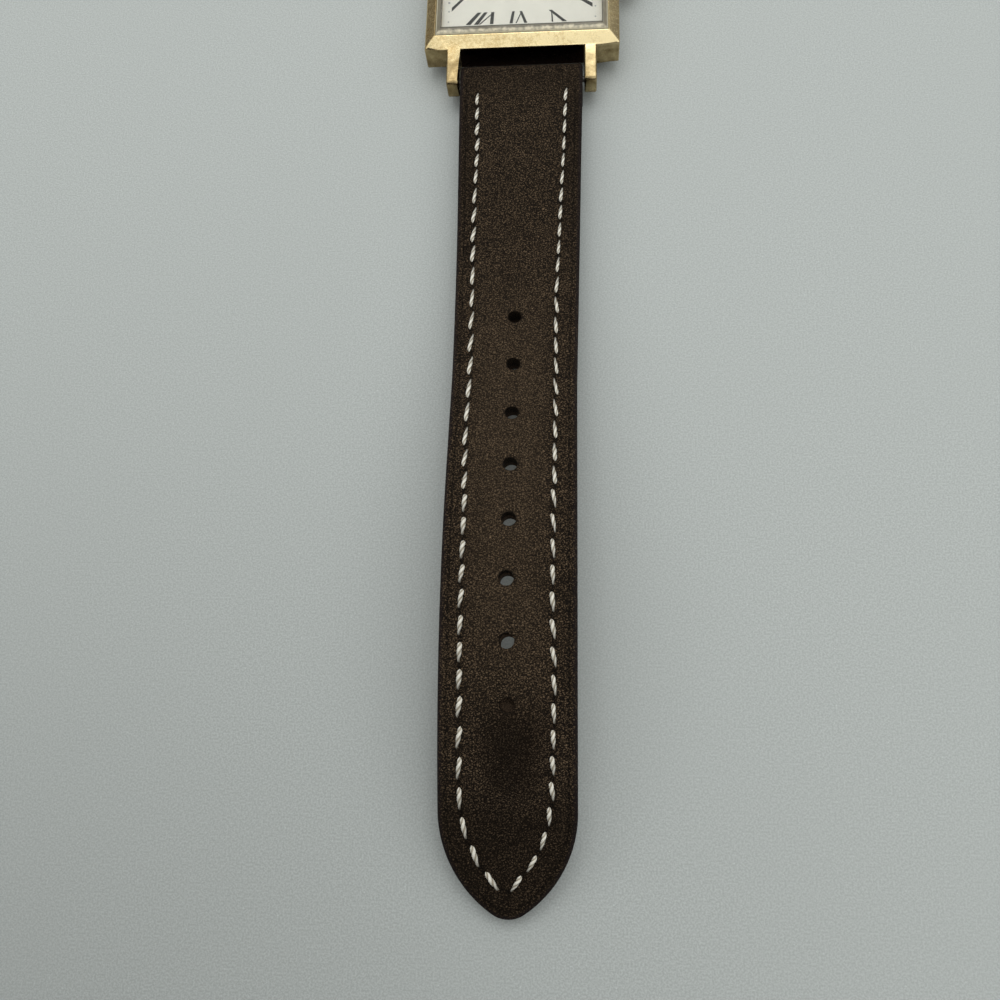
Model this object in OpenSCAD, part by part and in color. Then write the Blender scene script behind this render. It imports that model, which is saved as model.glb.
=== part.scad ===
// Square two-hand quartz dress watch on a leather strap.
// It lies on its back: Z = 0 is the flat underside of the case back, +X points to the crown,
// +Y to 12 o'clock and the buckle, -Y to 6 o'clock and the long strap piece. Millimetres.

/* [Case] */
// Side of the square case
case_w = 28; // [26:0.5:34]
// Height of the case back below the upright wall
back_h = 2.1; // [1.9:0.1:2.8]
// Thickness of the case back's floor
back_t = 0.8; // [0.5:0.1:1]
// Height of the upright wall
wall_h = 3.7; // [3.6:0.1:4.6]
// Thickness of the upright wall
wall_t = 2; // [1.8:0.1:2.4]
// Height of the bevel round the top
bevel_h = 1; // [0.7:0.1:1.4]
// Width of the bevel seen from above
bevel_w = 1.5; // [1.3:0.1:1.6]
// Gap between the lugs, where the strap fits
lug_gap = 18; // [16:0.5:20]
// Thickness of one lug
lug_t = 1.75; // [1.6:0.05:2.2]
// Reach of the lugs past the wall
lug_reach = 5.4; // [5.2:0.1:6.5]
// Distance from the lug's end back to the spring bar
bar_inset = 1.5; // [1.3:0.1:1.7]
// Height of the spring bars above the lug's underside
bar_rise = 1.37; // [1.1:0.01:1.5]

/* [Crystal and dial] */
// Thickness of the crystal
crystal_t = 1; // [0.8:0.1:1.3]
// How far the crystal stands above the case
crystal_rise = 0.6; // [0.4:0.05:0.7]
// Width of the facet round the crystal
facet_w = 0.65; // [0.3:0.05:1]
// Room for the hands between dial and crystal
hand_room = 0.7; // [0.65:0.05:0.9]
// Thickness of the dial
dial_t = 0.4; // [0.3:0.05:0.5]
// Distance from the edge of the visible dial to the numerals
numeral_margin = 1.4; // [1.3:0.05:2]
// Length of the numerals, measured square to the dial's side
numeral_len = 2.1; // [1.4:0.05:2.2]
// Distance from the edge of the visible dial to the row of minute dots
dot_margin = 1; // [0.6:0.05:1.1]
// Length of the hour hand
hour_hand_len = 5.8; // [4.5:0.1:7]
// Length of the minute hand
minute_hand_len = 8.8; // [7:0.1:10]

/* [Movement] */
// Width of the movement, towards the crown
movement_w = 17.5; // [17.3:0.1:19]
// Length of the movement, towards 12 o'clock
movement_l = 15.3; // [15.2:0.1:17]
// Diameter of the battery
battery_d = 6.8; // [5.8:0.1:6.8]
// Thickness of the battery
battery_t = 1.5; // [1.2:0.05:1.5]
// Length of the winding on the drive coil
coil_len = 7.4; // [6:0.1:7.6]
// Radius of the winding stem
stem_r = 0.4; // [0.36:0.02:0.42]
// How far the crown pulls out to set the hands
crown_travel = 1; // [0.7:0.05:1]

/* [Crown] */
// Diameter of the crown
crown_d = 3.8; // [3.4:0.1:4.4]
// Length of the crown
crown_len = 2.6; // [2.5:0.1:3.2]
// Number of grooves round the crown
crown_grooves = 24; // [18:1:30]

/* [Strap] */
// Width of the strap between the lugs, less than the gap by this
strap_side_gap = 0.25; // [0.15:0.05:0.5]
// Width of the strap past its taper
strap_w = 15.8; // [14:0.1:16]
// Radius of the strap's loop round a spring bar at the lugs
loop_r = 1.7; // [1.5:0.05:1.9]
// Thickness of the strap past the padding
strap_t = 2.1; // [1.9:0.05:2.4]
// Thickness of the top leather and of the lining
leather_t = 0.9; // [0.7:0.05:0.95]
// How far the padded middle stands above the edges
pad_rise = 0.45; // [0.2:0.05:0.6]
// Distance from the strap's edge to the stitching
stitch_inset = 2.3; // [1.8:0.1:2.8]
// Distance from one stitch to the next
stitch_pitch = 2.9; // [2.5:0.1:3.6]
// Length of one stitch
stitch_len = 2.15; // [1.6:0.05:2.3]
// Length of the point at the long piece's end
point_len = 12.6; // [11:0.1:14]
// Number of holes in the long piece
hole_count = 8; // [5:1:8]
// Distance from one hole to the next
hole_pitch = 7.16; // [6:0.02:7.2]
// Diameter of a strap hole
hole_d = 1.65; // [1.4:0.05:2]
// Distance from the spring bar to the first hole
first_hole = 39.9; // [36:0.1:42]

/* [Buckle] */
// Radius of the strap's loop round the buckle's bar
buckle_loop_r = 1.4; // [1.3:0.05:1.5]
// Gap between the strap's side and the buckle's ear
ear_gap = 0.3; // [0.2:0.05:0.5]
// Width of a side rail of the buckle
rail_w = 1.7; // [1.4:0.1:2.2]
// Distance from the buckle's bar to its front edge
buckle_reach = 10; // [9.4:0.1:12]
// Width of the buckle's front bar
front_w = 2.4; // [2:0.1:2.6]
// Thickness of the buckle frame
buckle_t = 1.8; // [1.6:0.1:2]
// Width of the tang
tang_w = 1.7; // [1.4:0.1:2]
// Width of a keeper along the strap
keeper_w = 5; // [4:0.1:5]
// Thickness of a keeper's leather
keeper_t = 1.1; // [0.9:0.05:1.1]

/* [Hidden] */

$fn = 48;
// Clearances: between pieces pressed together, between pieces that slide or turn, between loose ones
press_gap = 0.01;
run_gap = 0.05;
loose_gap = 0.1;
// Overshoot of a cutting tool past the face that it leaves
over = 0.5;

gold = "goldenrod";
steel = "silver";
brass = "khaki";
plastic = "ivory";
leather = "#3a2f26";
thread = "#e6ddcb";
rubber = "#2b2b2b";

// Heights of the case, from the table up
wall_top = back_h + wall_h;
case_top = wall_top + bevel_h;
crystal_top = case_top + crystal_rise;
crystal_low = crystal_top - crystal_t;
gasket_t = 0.2;
seat_z = crystal_low - gasket_t;
dial_top = crystal_low - hand_room;
dial_low = dial_top - dial_t;

// Half widths of the square openings in the case
half = case_w / 2;
rim_w = 0.1;
recess_half = half - bevel_w - rim_w;
crystal_half = recess_half - 0.25;
chamber_half = half - wall_t;
rehaut_half = chamber_half - 0.4;
back_half = half - 0.8;
back_rim_h = 0.8;
back_rim_t = 0.65;
back_flare = 1.8;
back_flare_h = 1.5;
groove_in = chamber_half + 0.4;
groove_w = 0.5;
groove_h = 0.4;

// Lugs and spring bars
bar_y = half + lug_reach - bar_inset;
lug_low = back_h - 0.2;
bar_z = lug_low + bar_rise;
lug_drop = 0.6;
lug_round = 0.7;
lug_root = 1;
tip_clear = 0.2;
tip_r = 0.42;
bar_r = 0.75;
bar_bore_r = 0.55;
bar_cap = 0.4;
collar_r = 0.5;
collar_len = 0.85;
tip_travel = 0.9;
tip_depth = 0.9;
tip_cone = 0.25;
lug_bar_half = lug_gap / 2 - 0.4;
lug_tip_reach = lug_gap / 2 + tip_depth;

// Marks on the dial: squares round its centre, widths of strokes, and angles between them
numeral_out = rehaut_half - numeral_margin;
numeral_in = numeral_out - numeral_len;
dot_out = rehaut_half - dot_margin;
thick = 0.44;
thin = 0.17;
stroke_step = 4.2;
glyph_half = 3.9;
numeral_h = 0.05;
dot_r = 0.12;
hour_dot_r = 0.17;
dot_h = 0.04;
foot_r = 0.3;
foot_len = 0.8;
dial_feet = [[2 - chamber_half, 5.5], [chamber_half - 2, -5.5]];
// Letters of each hour, as [kind, place along the numeral in steps]
NUMERALS = [
    [[1, 0]],
    [[1, -0.5], [1, 0.5]],
    [[1, -1], [1, 0], [1, 1]],
    [[1, -1.5], [1, -0.5], [1, 0.5], [1, 1.5]],
    [[5, 0.6]],
    [[5, 0.1], [1, 2]],
    [[5, -0.75], [1, 0.65], [1, 1.7]],
    [[5, -0.45], [1, 1.1], [1, 2.1], [1, 3.1]],
    [[1, -1.2], [10, 0.5]],
    [[10, 0]],
    [[10, -0.5], [1, 1.2]],
    [[10, -1.1], [1, 0.6], [1, 1.6]]
];

// Movement: positions in plan, and levels measured down from the dial's underside
plate_t = 1.5;
plate_edge = 0.2;
recess_h = 0.6;
stem_level = 1.2;
stem_z = dial_low - stem_level;
bridge_level = 2.85;
bridge_t = 0.3;
coil_r = 1;
core_w = 0.9;
core_t = 0.3;
core_level = 1.95;
core_half = coil_len / 2 + 1.3;
core_screw_in = 0.5;
coil_x = core_half + plate_edge - movement_w / 2;
battery_at = [battery_d - movement_w, battery_d - movement_l] / 2 + [plate_edge, plate_edge];
pillars = [[4.9, 4.2], [3.6, -2.3], [-3.3, 0.1]];
pillar_r = 0.5;
screw_r = 0.22;
screw_head_r = 0.42;
screw_head_h = 0.25;
screw_len = 1.2;
screw_slot = 0.14;
post_r = 0.42;
rotor_r = 0.75;
pivot_r = 0.12;
arbor_r = 0.2;
staff_r = 0.25;
pivot_reach = 0.15;
pivot_hole = 0.35;
pivot_gap = 0.03;
bridge_play = 0.05;

// Wheel train: teeth, modules and places. The rotor makes 90 turns for one of the minute hand.
rotor_teeth = 8;
inter_teeth = 48;
inter_leaves = 8;
third_teeth = 40;
third_leaves = 10;
centre_teeth = 30;
cannon_teeth = 10;
minute_teeth = 30;
minute_leaves = 8;
hour_teeth = 32;
setting_teeth = 14;
module_a = 0.1;
module_b = 0.12;
module_c = 0.15;
module_m = 0.11;
third_dir = 50;
inter_dir = 170;
rotor_dir = 195;
third_at = polar((third_leaves + centre_teeth) / 2 * module_c, third_dir);
inter_at = third_at + polar((inter_leaves + third_teeth) / 2 * module_b, inter_dir);
rotor_at = inter_at + polar((rotor_teeth + inter_teeth) / 2 * module_a, rotor_dir);
minute_at = [(cannon_teeth + minute_teeth) / 2 * module_m, 0];
third_phase = mesh_phase(0, centre_teeth, third_leaves, third_dir);
inter_phase = mesh_phase(third_phase, third_teeth, inter_leaves, inter_dir);
rotor_phase = mesh_phase(inter_phase, inter_teeth, rotor_teeth, rotor_dir);
minute_phase = mesh_phase(0, cannon_teeth, minute_teeth, 0);
hour_phase = mesh_phase(minute_phase, minute_leaves, hour_teeth, 180);
coil_y = inter_at[1] + (inter_teeth / 2 + 1) * module_a + loose_gap + coil_r;
core_ends = [for (side = [-1, 1]) [coil_x + side * (core_half - core_screw_in), coil_y]];
stator_pad = rotor_r + 0.5;
stator_link = 0.8;
board_x = 1;
board_y = -3.5;
board_edge = 0.25;
board_t = 0.3;
can_r = 0.55;
can_len = 4.6;
can_edge = 1.1;
chip_w = 1.6;
chip_t = 0.5;
bridge_low = [-4.6, -2.9];
bridge_high = [5.8, 5];
battery_step = 0.25;
clamp_t = 0.12;
clamp_w = 1.6;
wheel_t = 0.15;
inter_level = 1.85;
third_level = 2.2;
centre_level = 2.65;

// Keyless work: places along X of the pieces on the stem
stem_in = 3.2;
square_side = 1.4 * stem_r;
square_end = 5.9;
setting_x = 4.2;
setting_len = 1;
setting_r = 0.85;
lever_len = 2.6;
lever_x = movement_w / 2 - 1.05;
lever_swing = asin(crown_travel / 2 / lever_len);
lever_pin_r = 0.2;
groove_x = lever_x - lever_len * sin(lever_swing);
stem_groove_w = 0.5;
stem_core_r = 0.2;
lever_level = 1.75;
lever_t = 0.25;
lever_boss_r = 0.65;
lever_arm_w = 0.5;
lever_post_r = 0.3;

// Crown: it hides the tube that its stem runs in
crown_x = half + 0.3;
crown_wall = 0.65;
crown_cap = 0.8;
tube_r = 0.95;
tube_bore_r = stem_r + loose_gap;
tube_end = crown_x + crown_len - crown_cap - loose_gap;
crown_bore_r = crown_d / 2 - crown_wall;
crown_gasket_x = crown_x + 0.3;
crown_gasket_w = 0.5;
crown_chamfer = 0.4;
groove_r = 0.18;
stem_seat = 0.25;
crown_chamfer_w = 0.5;

// Hands: heights above the dial and the time that they show, ten past ten
hour_hand_z = dial_top + 0.18;
minute_hand_z = dial_top + 0.42;
hand_t = 0.1;
pipe_r = 0.75;
cannon_r = 0.42;
hour_angle = 305;
minute_angle = 60;

// Strap pieces: each is [start slope, bends], and a bend is [length, turn in degrees]
long_bends = [[9.9, -9.2], [10.2, 0], [28.4, 11.6], [16.4, -2.7], [36.3, -28.4], [13.1, 4.5]];
short_bends = [[10, -1.2], [12, 0], [20, -16.1], [24, 0], [6, 9.2]];
start_slope = 8.1;
strap_lug_w = lug_gap - 2 * strap_side_gap;
taper_len = 49;
short_taper_len = 38;
padding_len = 56;
short_padding_len = 40;
wrap_len = 4;
band_step = 3;
long_len = total(long_bends);
short_len = total(short_bends);
strap_start = [bar_y - loop_r * sin(start_slope), bar_z + loop_r * cos(start_slope), start_slope];
shoulder = long_len - point_len;
ogive_r = (pow(point_len, 2) + pow(strap_w / 2, 2)) / strap_w;
stitch_w = 0.5;
stitch_t = 0.35;
loop_bore_r = bar_r + run_gap;

// Buckle: its bar lies at the end of the short piece, and its front edge rests on the table
short_w = strap_w + 0.2;
short_end = strap_at(short_bends, short_len);
buckle_y = short_end[0] + buckle_loop_r * sin(short_end[2]);
buckle_z = short_end[1] - buckle_loop_r * cos(short_end[2]);
ear_half = short_w / 2 + ear_gap;
buckle_bar_half = ear_half - 0.3;
buckle_tip_reach = ear_half + tip_depth;
buckle_droop = asin((buckle_z - buckle_t / 2) / buckle_reach);
ear_back = 1.5;
tang_slot = tang_w + 0.9;
slot_len = 4.2;
cut_reach = 15;
tang_loop_r = 1.25;
tang_t = 0.9;
fixed_keeper_s = 62;
free_keeper_s = 50;
keeper_room = 2 * strap_t + 0.6;
wide = strap_lug_w + 4;
pad_margin = stitch_inset + 0.7;
pad_end = first_hole - hole_d - 0.5;
short_pad_end = 0.8 * short_padding_len;
hem = 3;

// Point at a distance and a direction
function polar(r, a) = r * [cos(a), sin(a)];

// Turn of a wheel whose teeth mesh with those of a turned neighbour lying in direction dir
function mesh_phase(phase, teeth, next_teeth, dir) =
    dir + 180 + 180 / next_teeth - (phase - dir) * teeth / next_teeth;

// Length of a list of bends, up to the i-th
function total(bends, i = 0) = i < len(bends) ? bends[i][0] + total(bends, i + 1) : 0;

// Position and slope after a length of a steady bend, from [across, up, slope]
function bend_from(p, length, turn) =
    abs(turn) < 0.001
    ? [p[0] + length * cos(p[2]), p[1] + length * sin(p[2]), p[2]]
    : let (r = length / turn * 180 / PI, a = p[2] + turn)
      [p[0] + r * (sin(a) - sin(p[2])), p[1] - r * (cos(a) - cos(p[2])), a];

// Position and slope of the strap's upper edge line at a distance along it
function strap_at(bends, s, p = strap_start, i = 0) =
    i == len(bends) - 1 || s <= bends[i][0]
    ? bend_from(p, s, bends[i][1] * s / bends[i][0])
    : strap_at(bends, s - bends[i][0], bend_from(p, bends[i][0], bends[i][1]), i + 1);

// A point below that line by a depth, as [across, up]
function strap_point(bends, s, depth) =
    let (p = strap_at(bends, s))
    [p[0] + depth * sin(p[2]), p[1] - depth * cos(p[2])];

// Strap thickness and half width at a distance along each piece
function thickness(s, run) = strap_t + (2 * loop_r - strap_t) * max(0, 1 - s / run);
function taper(s, run, end_w) = (end_w + (strap_lug_w - end_w) * max(0, 1 - s / run)) / 2;
function ogive(s, inset) =
    let (x = s - shoulder) sqrt(max(0, pow(ogive_r - inset, 2) - x * x)) - (ogive_r - strap_w / 2);
function long_half(s, inset = 0) =
    s <= shoulder ? taper(s, taper_len, strap_w) - inset : max(0, ogive(s, inset));
function short_half(s, inset = 0) = taper(s, short_taper_len, short_w) - inset;

// Square with rounded corners, centred
module rounded_rect(w, h, r) {
    square([w - 2 * r, h], center = true);
    square([w, h - 2 * r], center = true);
    for (x = [-1, 1], y = [-1, 1])
        translate([x * (w / 2 - r), y * (h / 2 - r)]) circle(r);
}

// Solid with a square plan and mitred corners, from [half width, height] pairs going up
module square_turned(profile) {
    n = len(profile);
    outline = concat(profile, [for (i = [1:n]) [-profile[n - i][0], profile[n - i][1]]]);
    reach = 2 * max([for (p = profile) p[0]]) + 2;
    intersection() {
        rotate([90, 0, 0]) linear_extrude(reach, center = true) polygon(outline);
        rotate([90, 0, 90]) linear_extrude(reach, center = true) polygon(outline);
    }
}

// Upright block with a square plan
module square_block(half_w, low, high) {
    translate([-half_w, -half_w, low]) cube([2 * half_w, 2 * half_w, high - low]);
}

// Square ring
module square_ring(outer, inner, low, high) {
    difference() {
        square_block(outer, low, high);
        square_block(inner, low - over, high + over);
    }
}

// Cylinder along X from one place to another
module rod_x(x0, x1, r) {
    translate([x0, 0, 0]) rotate([0, 90, 0]) cylinder(r = r, h = x1 - x0);
}

// Disc below the dial: two levels measured down from its underside
module disc(level, t, r) {
    translate([0, 0, dial_low - level]) cylinder(r = r, h = t);
}

module at_xy(p) {
    translate([p[0], p[1], 0]) children();
}

// Outline of a toothed wheel: each tooth has a root and a tip corner on either side
module gear_outline(teeth, pitch_module, phase = 0) {
    pitch_r = teeth * pitch_module / 2;
    step = 360 / teeth;
    corners = [[-0.31, -1.1], [-0.14, 0.85], [0.14, 0.85], [0.31, -1.1]];
    polygon([for (i = [0:teeth - 1], k = corners)
        polar(pitch_r + k[1] * pitch_module, phase + (i + k[0]) * step)]);
}

// Toothed disc at a level
module gear(teeth, pitch_module, level, t, phase = 0) {
    translate([0, 0, dial_low - level]) linear_extrude(t) gear_outline(teeth, pitch_module, phase);
}

// Case

module lug() {
    end_y = half + lug_reach;
    end_top = wall_top - lug_drop;
    round_steps = [0:15:90];
    outline = concat(
        [[half - lug_root, back_h], [back_half + loose_gap, back_h], [back_half + loose_gap, lug_low],
            [end_y - lug_round, lug_low]],
        [for (a = round_steps) [end_y - lug_round, lug_low + lug_round] + polar(lug_round, a - 90)],
        [for (a = round_steps) [end_y - lug_round, end_top - lug_round] + polar(lug_round, a)],
        [[half, wall_top], [half - lug_root, wall_top]]);
    difference() {
        translate([lug_gap / 2, 0, 0]) rotate([90, 0, 90]) linear_extrude(lug_t) polygon(outline);
        translate([0, bar_y, bar_z]) rod_x(0, lug_tip_reach + tip_clear, tip_r + run_gap);
    }
}

module case_middle() {
    color(gold) difference() {
        union() {
            square_turned([[half, back_h], [half, wall_top], [half - bevel_w, case_top]]);
            for (x = [0, 1], y = [0, 1]) mirror([x, 0, 0]) mirror([0, y, 0]) lug();
        }
        square_block(chamber_half, back_h - over, dial_top);
        square_block(rehaut_half, dial_top - over, case_top);
        square_block(recess_half, seat_z, case_top + over);
        square_ring(groove_in + groove_w, groove_in, back_h - over, back_h + groove_h);
        translate([0, 0, stem_z]) rod_x(0, half + over, tube_r + press_gap);
    }
}

module case_back() {
    rim_half = chamber_half - run_gap;
    color(steel) union() {
        difference() {
            square_turned([[back_half - back_flare, 0], [back_half, back_flare_h],
                [back_half, back_h]]);
            square_block(rim_half - back_rim_t, back_t, back_h + over);
        }
        square_ring(rim_half, rim_half - back_rim_t, back_t, back_h + back_rim_h);
    }
}

module case_back_gasket() {
    color(rubber) square_ring(groove_in + groove_w - press_gap, groove_in + press_gap,
        back_h, back_h + groove_h - press_gap);
}

module crystal() {
    edge_z = crystal_top - 0.7 * facet_w;
    color("lightblue", 0.35)
        square_turned([[crystal_half, crystal_low], [crystal_half, edge_z],
            [crystal_half - facet_w, crystal_top]]);
}

module crystal_gasket() {
    color(plastic) union() {
        square_ring(recess_half, crystal_half, seat_z, case_top - loose_gap);
        square_ring(crystal_half + run_gap, rehaut_half + loose_gap, seat_z, crystal_low);
    }
}

// Dial and its marks

module dial() {
    color("whitesmoke") union() {
        difference() {
            square_block(chamber_half - loose_gap, dial_low, dial_top);
            translate([0, 0, dial_low - over]) cylinder(r = pipe_r + loose_gap, h = 2 * over + dial_t);
        }
        for (p = dial_feet) at_xy(p) disc(foot_len, foot_len + dial_t / 2, foot_r);
    }
}

// Place in a direction, clockwise from 12, on a square round the dial's centre
function on_square(a, d) = d / max(abs(sin(a)), abs(cos(a))) * [sin(a), cos(a)];

// One stroke between two squares, from an angle on the inner to an angle on the outer
module stroke(a_in, a_out, w) {
    e = atan(w / 2 / numeral_out);
    polygon([on_square(a_in - e, numeral_in), on_square(a_in + e, numeral_in),
        on_square(a_out + e, numeral_out), on_square(a_out - e, numeral_out)]);
}

// A letter at an angle: I is one stroke, V and X are two
module letter(kind, a) {
    if (kind == 1) stroke(a, a, thick);
    if (kind == 5) {
        stroke(a + 0.5, a - glyph_half, thick);
        stroke(a - 0.5, a + glyph_half, thin);
    }
    if (kind == 10) {
        stroke(a + glyph_half, a - glyph_half, thick);
        stroke(a - glyph_half, a + glyph_half, thin);
    }
}

module hour_numerals() {
    color("black") translate([0, 0, dial_top]) linear_extrude(numeral_h)
        for (h = [1:12], g = NUMERALS[h - 1]) letter(g[0], 30 * h + g[1] * stroke_step);
}

module minute_dots() {
    color("dimgray") for (m = [0:59]) {
        p = on_square(6 * m, dot_out);
        translate([p[0], p[1], dial_top])
            cylinder(r = m % 5 == 0 ? hour_dot_r : dot_r, h = dot_h, $fn = 16);
    }
}

// Movement

module movement_holder() {
    low = back_h + back_rim_h + run_gap;
    color(plastic) difference() {
        square_block(chamber_half - loose_gap, low, dial_low);
        translate([-movement_w / 2 - loose_gap, -movement_l / 2 - loose_gap, low - over])
            cube([movement_w + 2 * loose_gap, movement_l + 2 * loose_gap, dial_low - low + 2 * over]);
        translate([0, 0, stem_z]) rod_x(0, half, stem_r + loose_gap);
        for (p = dial_feet) at_xy(p) disc(foot_len + loose_gap, foot_len + over, foot_r + run_gap);
    }
}

module main_plate() {
    color(brass) difference() {
        union() {
            translate([-movement_w / 2, -movement_l / 2, dial_low - plate_t])
                cube([movement_w, movement_l, plate_t]);
            for (p = pillars) at_xy(p) disc(bridge_level, bridge_level - plate_t / 2, pillar_r);
            for (p = core_ends) at_xy(p) disc(core_level, core_level - plate_t / 2, post_r);
            at_xy([lever_x, -lever_len])
                disc(lever_level + lever_t + run_gap, lever_level + lever_t - plate_t / 2, lever_post_r);
        }
        // Recess for the motion work, with the minute wheel's post left standing
        difference() {
            union() {
                disc(recess_h, recess_h + over, (hour_teeth / 2 + 1) * module_m + loose_gap);
                at_xy(minute_at) disc(recess_h, recess_h + over,
                    (minute_teeth / 2 + 1) * module_m + loose_gap);
            }
            at_xy(minute_at) disc(recess_h + over, recess_h + over - run_gap, arbor_r);
        }
        disc(plate_t + over, plate_t + 2 * over, cannon_r + loose_gap);
        for (p = [third_at, inter_at, rotor_at])
            at_xy(p) disc(plate_t + over, over + pivot_hole, pivot_r + pivot_gap);
        for (p = pillars) at_xy(p) disc(bridge_level + over, over + screw_len, screw_r);
        for (p = core_ends) at_xy(p) disc(core_level + over, over + screw_len, screw_r);
        // Open bay for the coil, and the stem's channel with the setting pinion's pocket
        translate([coil_x - coil_len / 2 - loose_gap, coil_y - coil_r - loose_gap, dial_low - plate_t - over])
            cube([coil_len + 2 * loose_gap, 2 * (coil_r + loose_gap), plate_t + 2 * over]);
        translate([0, 0, stem_z]) rod_x(stem_in - loose_gap, movement_w, stem_r + run_gap);
        translate([stem_in - loose_gap, -stem_r - run_gap, dial_low - plate_t - over])
            cube([movement_w, 2 * (stem_r + run_gap), plate_t - stem_level + over]);
        translate([setting_x - run_gap, -setting_r - loose_gap, dial_low - plate_t - over])
            cube([setting_len + 2 * run_gap, 2 * (setting_r + loose_gap),
                plate_t + over - stem_level + setting_r + loose_gap]);
    }
}

module train_bridge() {
    color(brass) difference() {
        translate([bridge_low[0], bridge_low[1], dial_low - bridge_level - bridge_t])
            cube([bridge_high[0] - bridge_low[0], bridge_high[1] - bridge_low[1], bridge_t]);
        at_xy(battery_at) disc(bridge_level + over, 2 * over, battery_d / 2 + loose_gap);
        for (p = [[0, 0], third_at, inter_at, rotor_at])
            at_xy(p) disc(bridge_level + over, 2 * over, pivot_r + pivot_gap);
        for (p = pillars) at_xy(p) disc(bridge_level + over, 2 * over, screw_r + run_gap);
    }
}

// One screw with its head at a level
module screw(level, length) {
    difference() {
        union() {
            disc(level, length, screw_r - press_gap);
            disc(level + screw_head_h, screw_head_h, screw_head_r);
        }
        translate([-screw_head_r - over, -screw_slot / 2, dial_low - level - screw_head_h - over])
            cube([2 * screw_head_r + 2 * over, screw_slot, over + 0.4 * screw_head_h]);
    }
}

module movement_screws() {
    color(steel) {
        for (p = pillars) at_xy(p) screw(bridge_level + bridge_t, screw_len);
        for (p = core_ends) at_xy(p) screw(core_level + 2 * core_t, screw_len);
    }
}

module circuit_board() {
    w = movement_w / 2 - board_edge - board_x;
    l = movement_l / 2 - board_edge + board_y;
    color("seagreen") translate([board_x, board_y - l, dial_low - plate_t - board_t])
        cube([w, l, board_t]);
}

module integrated_circuit() {
    color("black")
        translate([board_x + chip_w / 2, board_y - 1.2 * chip_w, dial_low - plate_t - board_t - chip_t])
            cube([chip_w, chip_w, chip_t]);
}

module quartz_can() {
    color(steel) translate([0, can_edge - movement_l / 2, dial_low - plate_t - board_t - can_r])
        rod_x(movement_w / 2 - can_edge - can_len, movement_w / 2 - can_edge, can_r);
}

module coil_core() {
    color(steel) difference() {
        translate([coil_x - core_half, coil_y - core_w / 2, dial_low - core_level - core_t])
            cube([2 * core_half, core_w, core_t]);
        for (p = core_ends) at_xy(p) disc(core_level + over, 2 * over, screw_r + run_gap);
    }
}

module drive_coil() {
    axis_level = core_level + core_t / 2;
    color("peru") difference() {
        translate([0, coil_y, dial_low - axis_level])
            rod_x(coil_x - coil_len / 2, coil_x + coil_len / 2, coil_r);
        translate([coil_x - coil_len, coil_y - core_w / 2 - press_gap,
                dial_low - core_level - core_t - press_gap])
            cube([2 * coil_len, core_w + 2 * press_gap, core_t + 2 * press_gap]);
    }
}

module stator() {
    top = core_level + core_t;
    left = core_ends[0][0] - core_w / 2;
    right = core_ends[1][0] + core_w / 2;
    high = coil_y + core_w / 2;
    link_y = coil_y - coil_r - loose_gap;
    link_x = rotor_at[0] + stator_pad - stator_link;
    color("slategray") difference() {
        translate([0, 0, dial_low - top - core_t]) linear_extrude(core_t) union() {
            translate([left, rotor_at[1] - stator_link / 2])
                square([core_w, high - rotor_at[1] + stator_link / 2]);
            translate([left, rotor_at[1] - stator_link / 2]) square([rotor_at[0] - left, stator_link]);
            translate(rotor_at) square(2 * stator_pad, center = true);
            translate([link_x, rotor_at[1]]) square([stator_link, link_y - rotor_at[1]]);
            translate([link_x, link_y - stator_link]) square([right - link_x, stator_link]);
            translate([right - core_w, link_y - stator_link])
                square([core_w, high - link_y + stator_link]);
        }
        at_xy(rotor_at) disc(top + core_t + over, 2 * over + core_t, rotor_r + 2 * loose_gap);
        for (p = core_ends) at_xy(p) disc(top + core_t + over, 2 * over + core_t, screw_r + run_gap);
    }
}

module battery() {
    low = plate_t + run_gap + battery_t;
    color(steel) at_xy(battery_at) union() {
        disc(low, battery_t - battery_step, battery_d / 2);
        disc(low, battery_t, battery_d / 2 - 2 * battery_step);
    }
}

module battery_clamp() {
    level = plate_t + run_gap + battery_t + press_gap + clamp_t;
    foot_x = battery_at[0] + battery_d / 2 + 4 * loose_gap;
    color(steel) translate([0, battery_at[1] - clamp_w / 2, dial_low - level]) union() {
        translate([battery_at[0] - battery_d / 2, 0, 0])
            cube([foot_x + 2 * clamp_t - battery_at[0] + battery_d / 2, clamp_w, clamp_t]);
        translate([foot_x, 0, 0]) cube([2 * clamp_t, clamp_w, level - plate_t]);
    }
}

// Wheels

module arbor(from_level, to_level, r) {
    disc(from_level, from_level - to_level, r);
}

module rotor() {
    color("dimgray") at_xy(rotor_at) union() {
        disc(2.6, 0.6, rotor_r);
        gear(rotor_teeth, module_a, 1.9, 0.3, rotor_phase);
        arbor(bridge_level + pivot_reach, plate_t - pivot_reach, pivot_r);
        arbor(bridge_level - 2 * bridge_play, plate_t + 2 * bridge_play, staff_r);
    }
}

module intermediate_wheel() {
    color(brass) at_xy(inter_at) union() {
        gear(inter_teeth, module_a, inter_level, wheel_t, inter_phase);
        gear(inter_leaves, module_b, third_level + 0.1, 0.45, inter_phase);
        arbor(bridge_level + pivot_reach, plate_t - pivot_reach, pivot_r);
        arbor(bridge_level - bridge_play, plate_t + bridge_play, staff_r);
    }
}

module third_wheel() {
    color(brass) at_xy(third_at) union() {
        gear(third_teeth, module_b, third_level, wheel_t, third_phase);
        gear(third_leaves, module_c, centre_level + 0.1, 0.55, third_phase);
        arbor(bridge_level + pivot_reach, plate_t - pivot_reach, pivot_r);
        arbor(bridge_level - bridge_play, plate_t + bridge_play, staff_r);
    }
}

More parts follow.
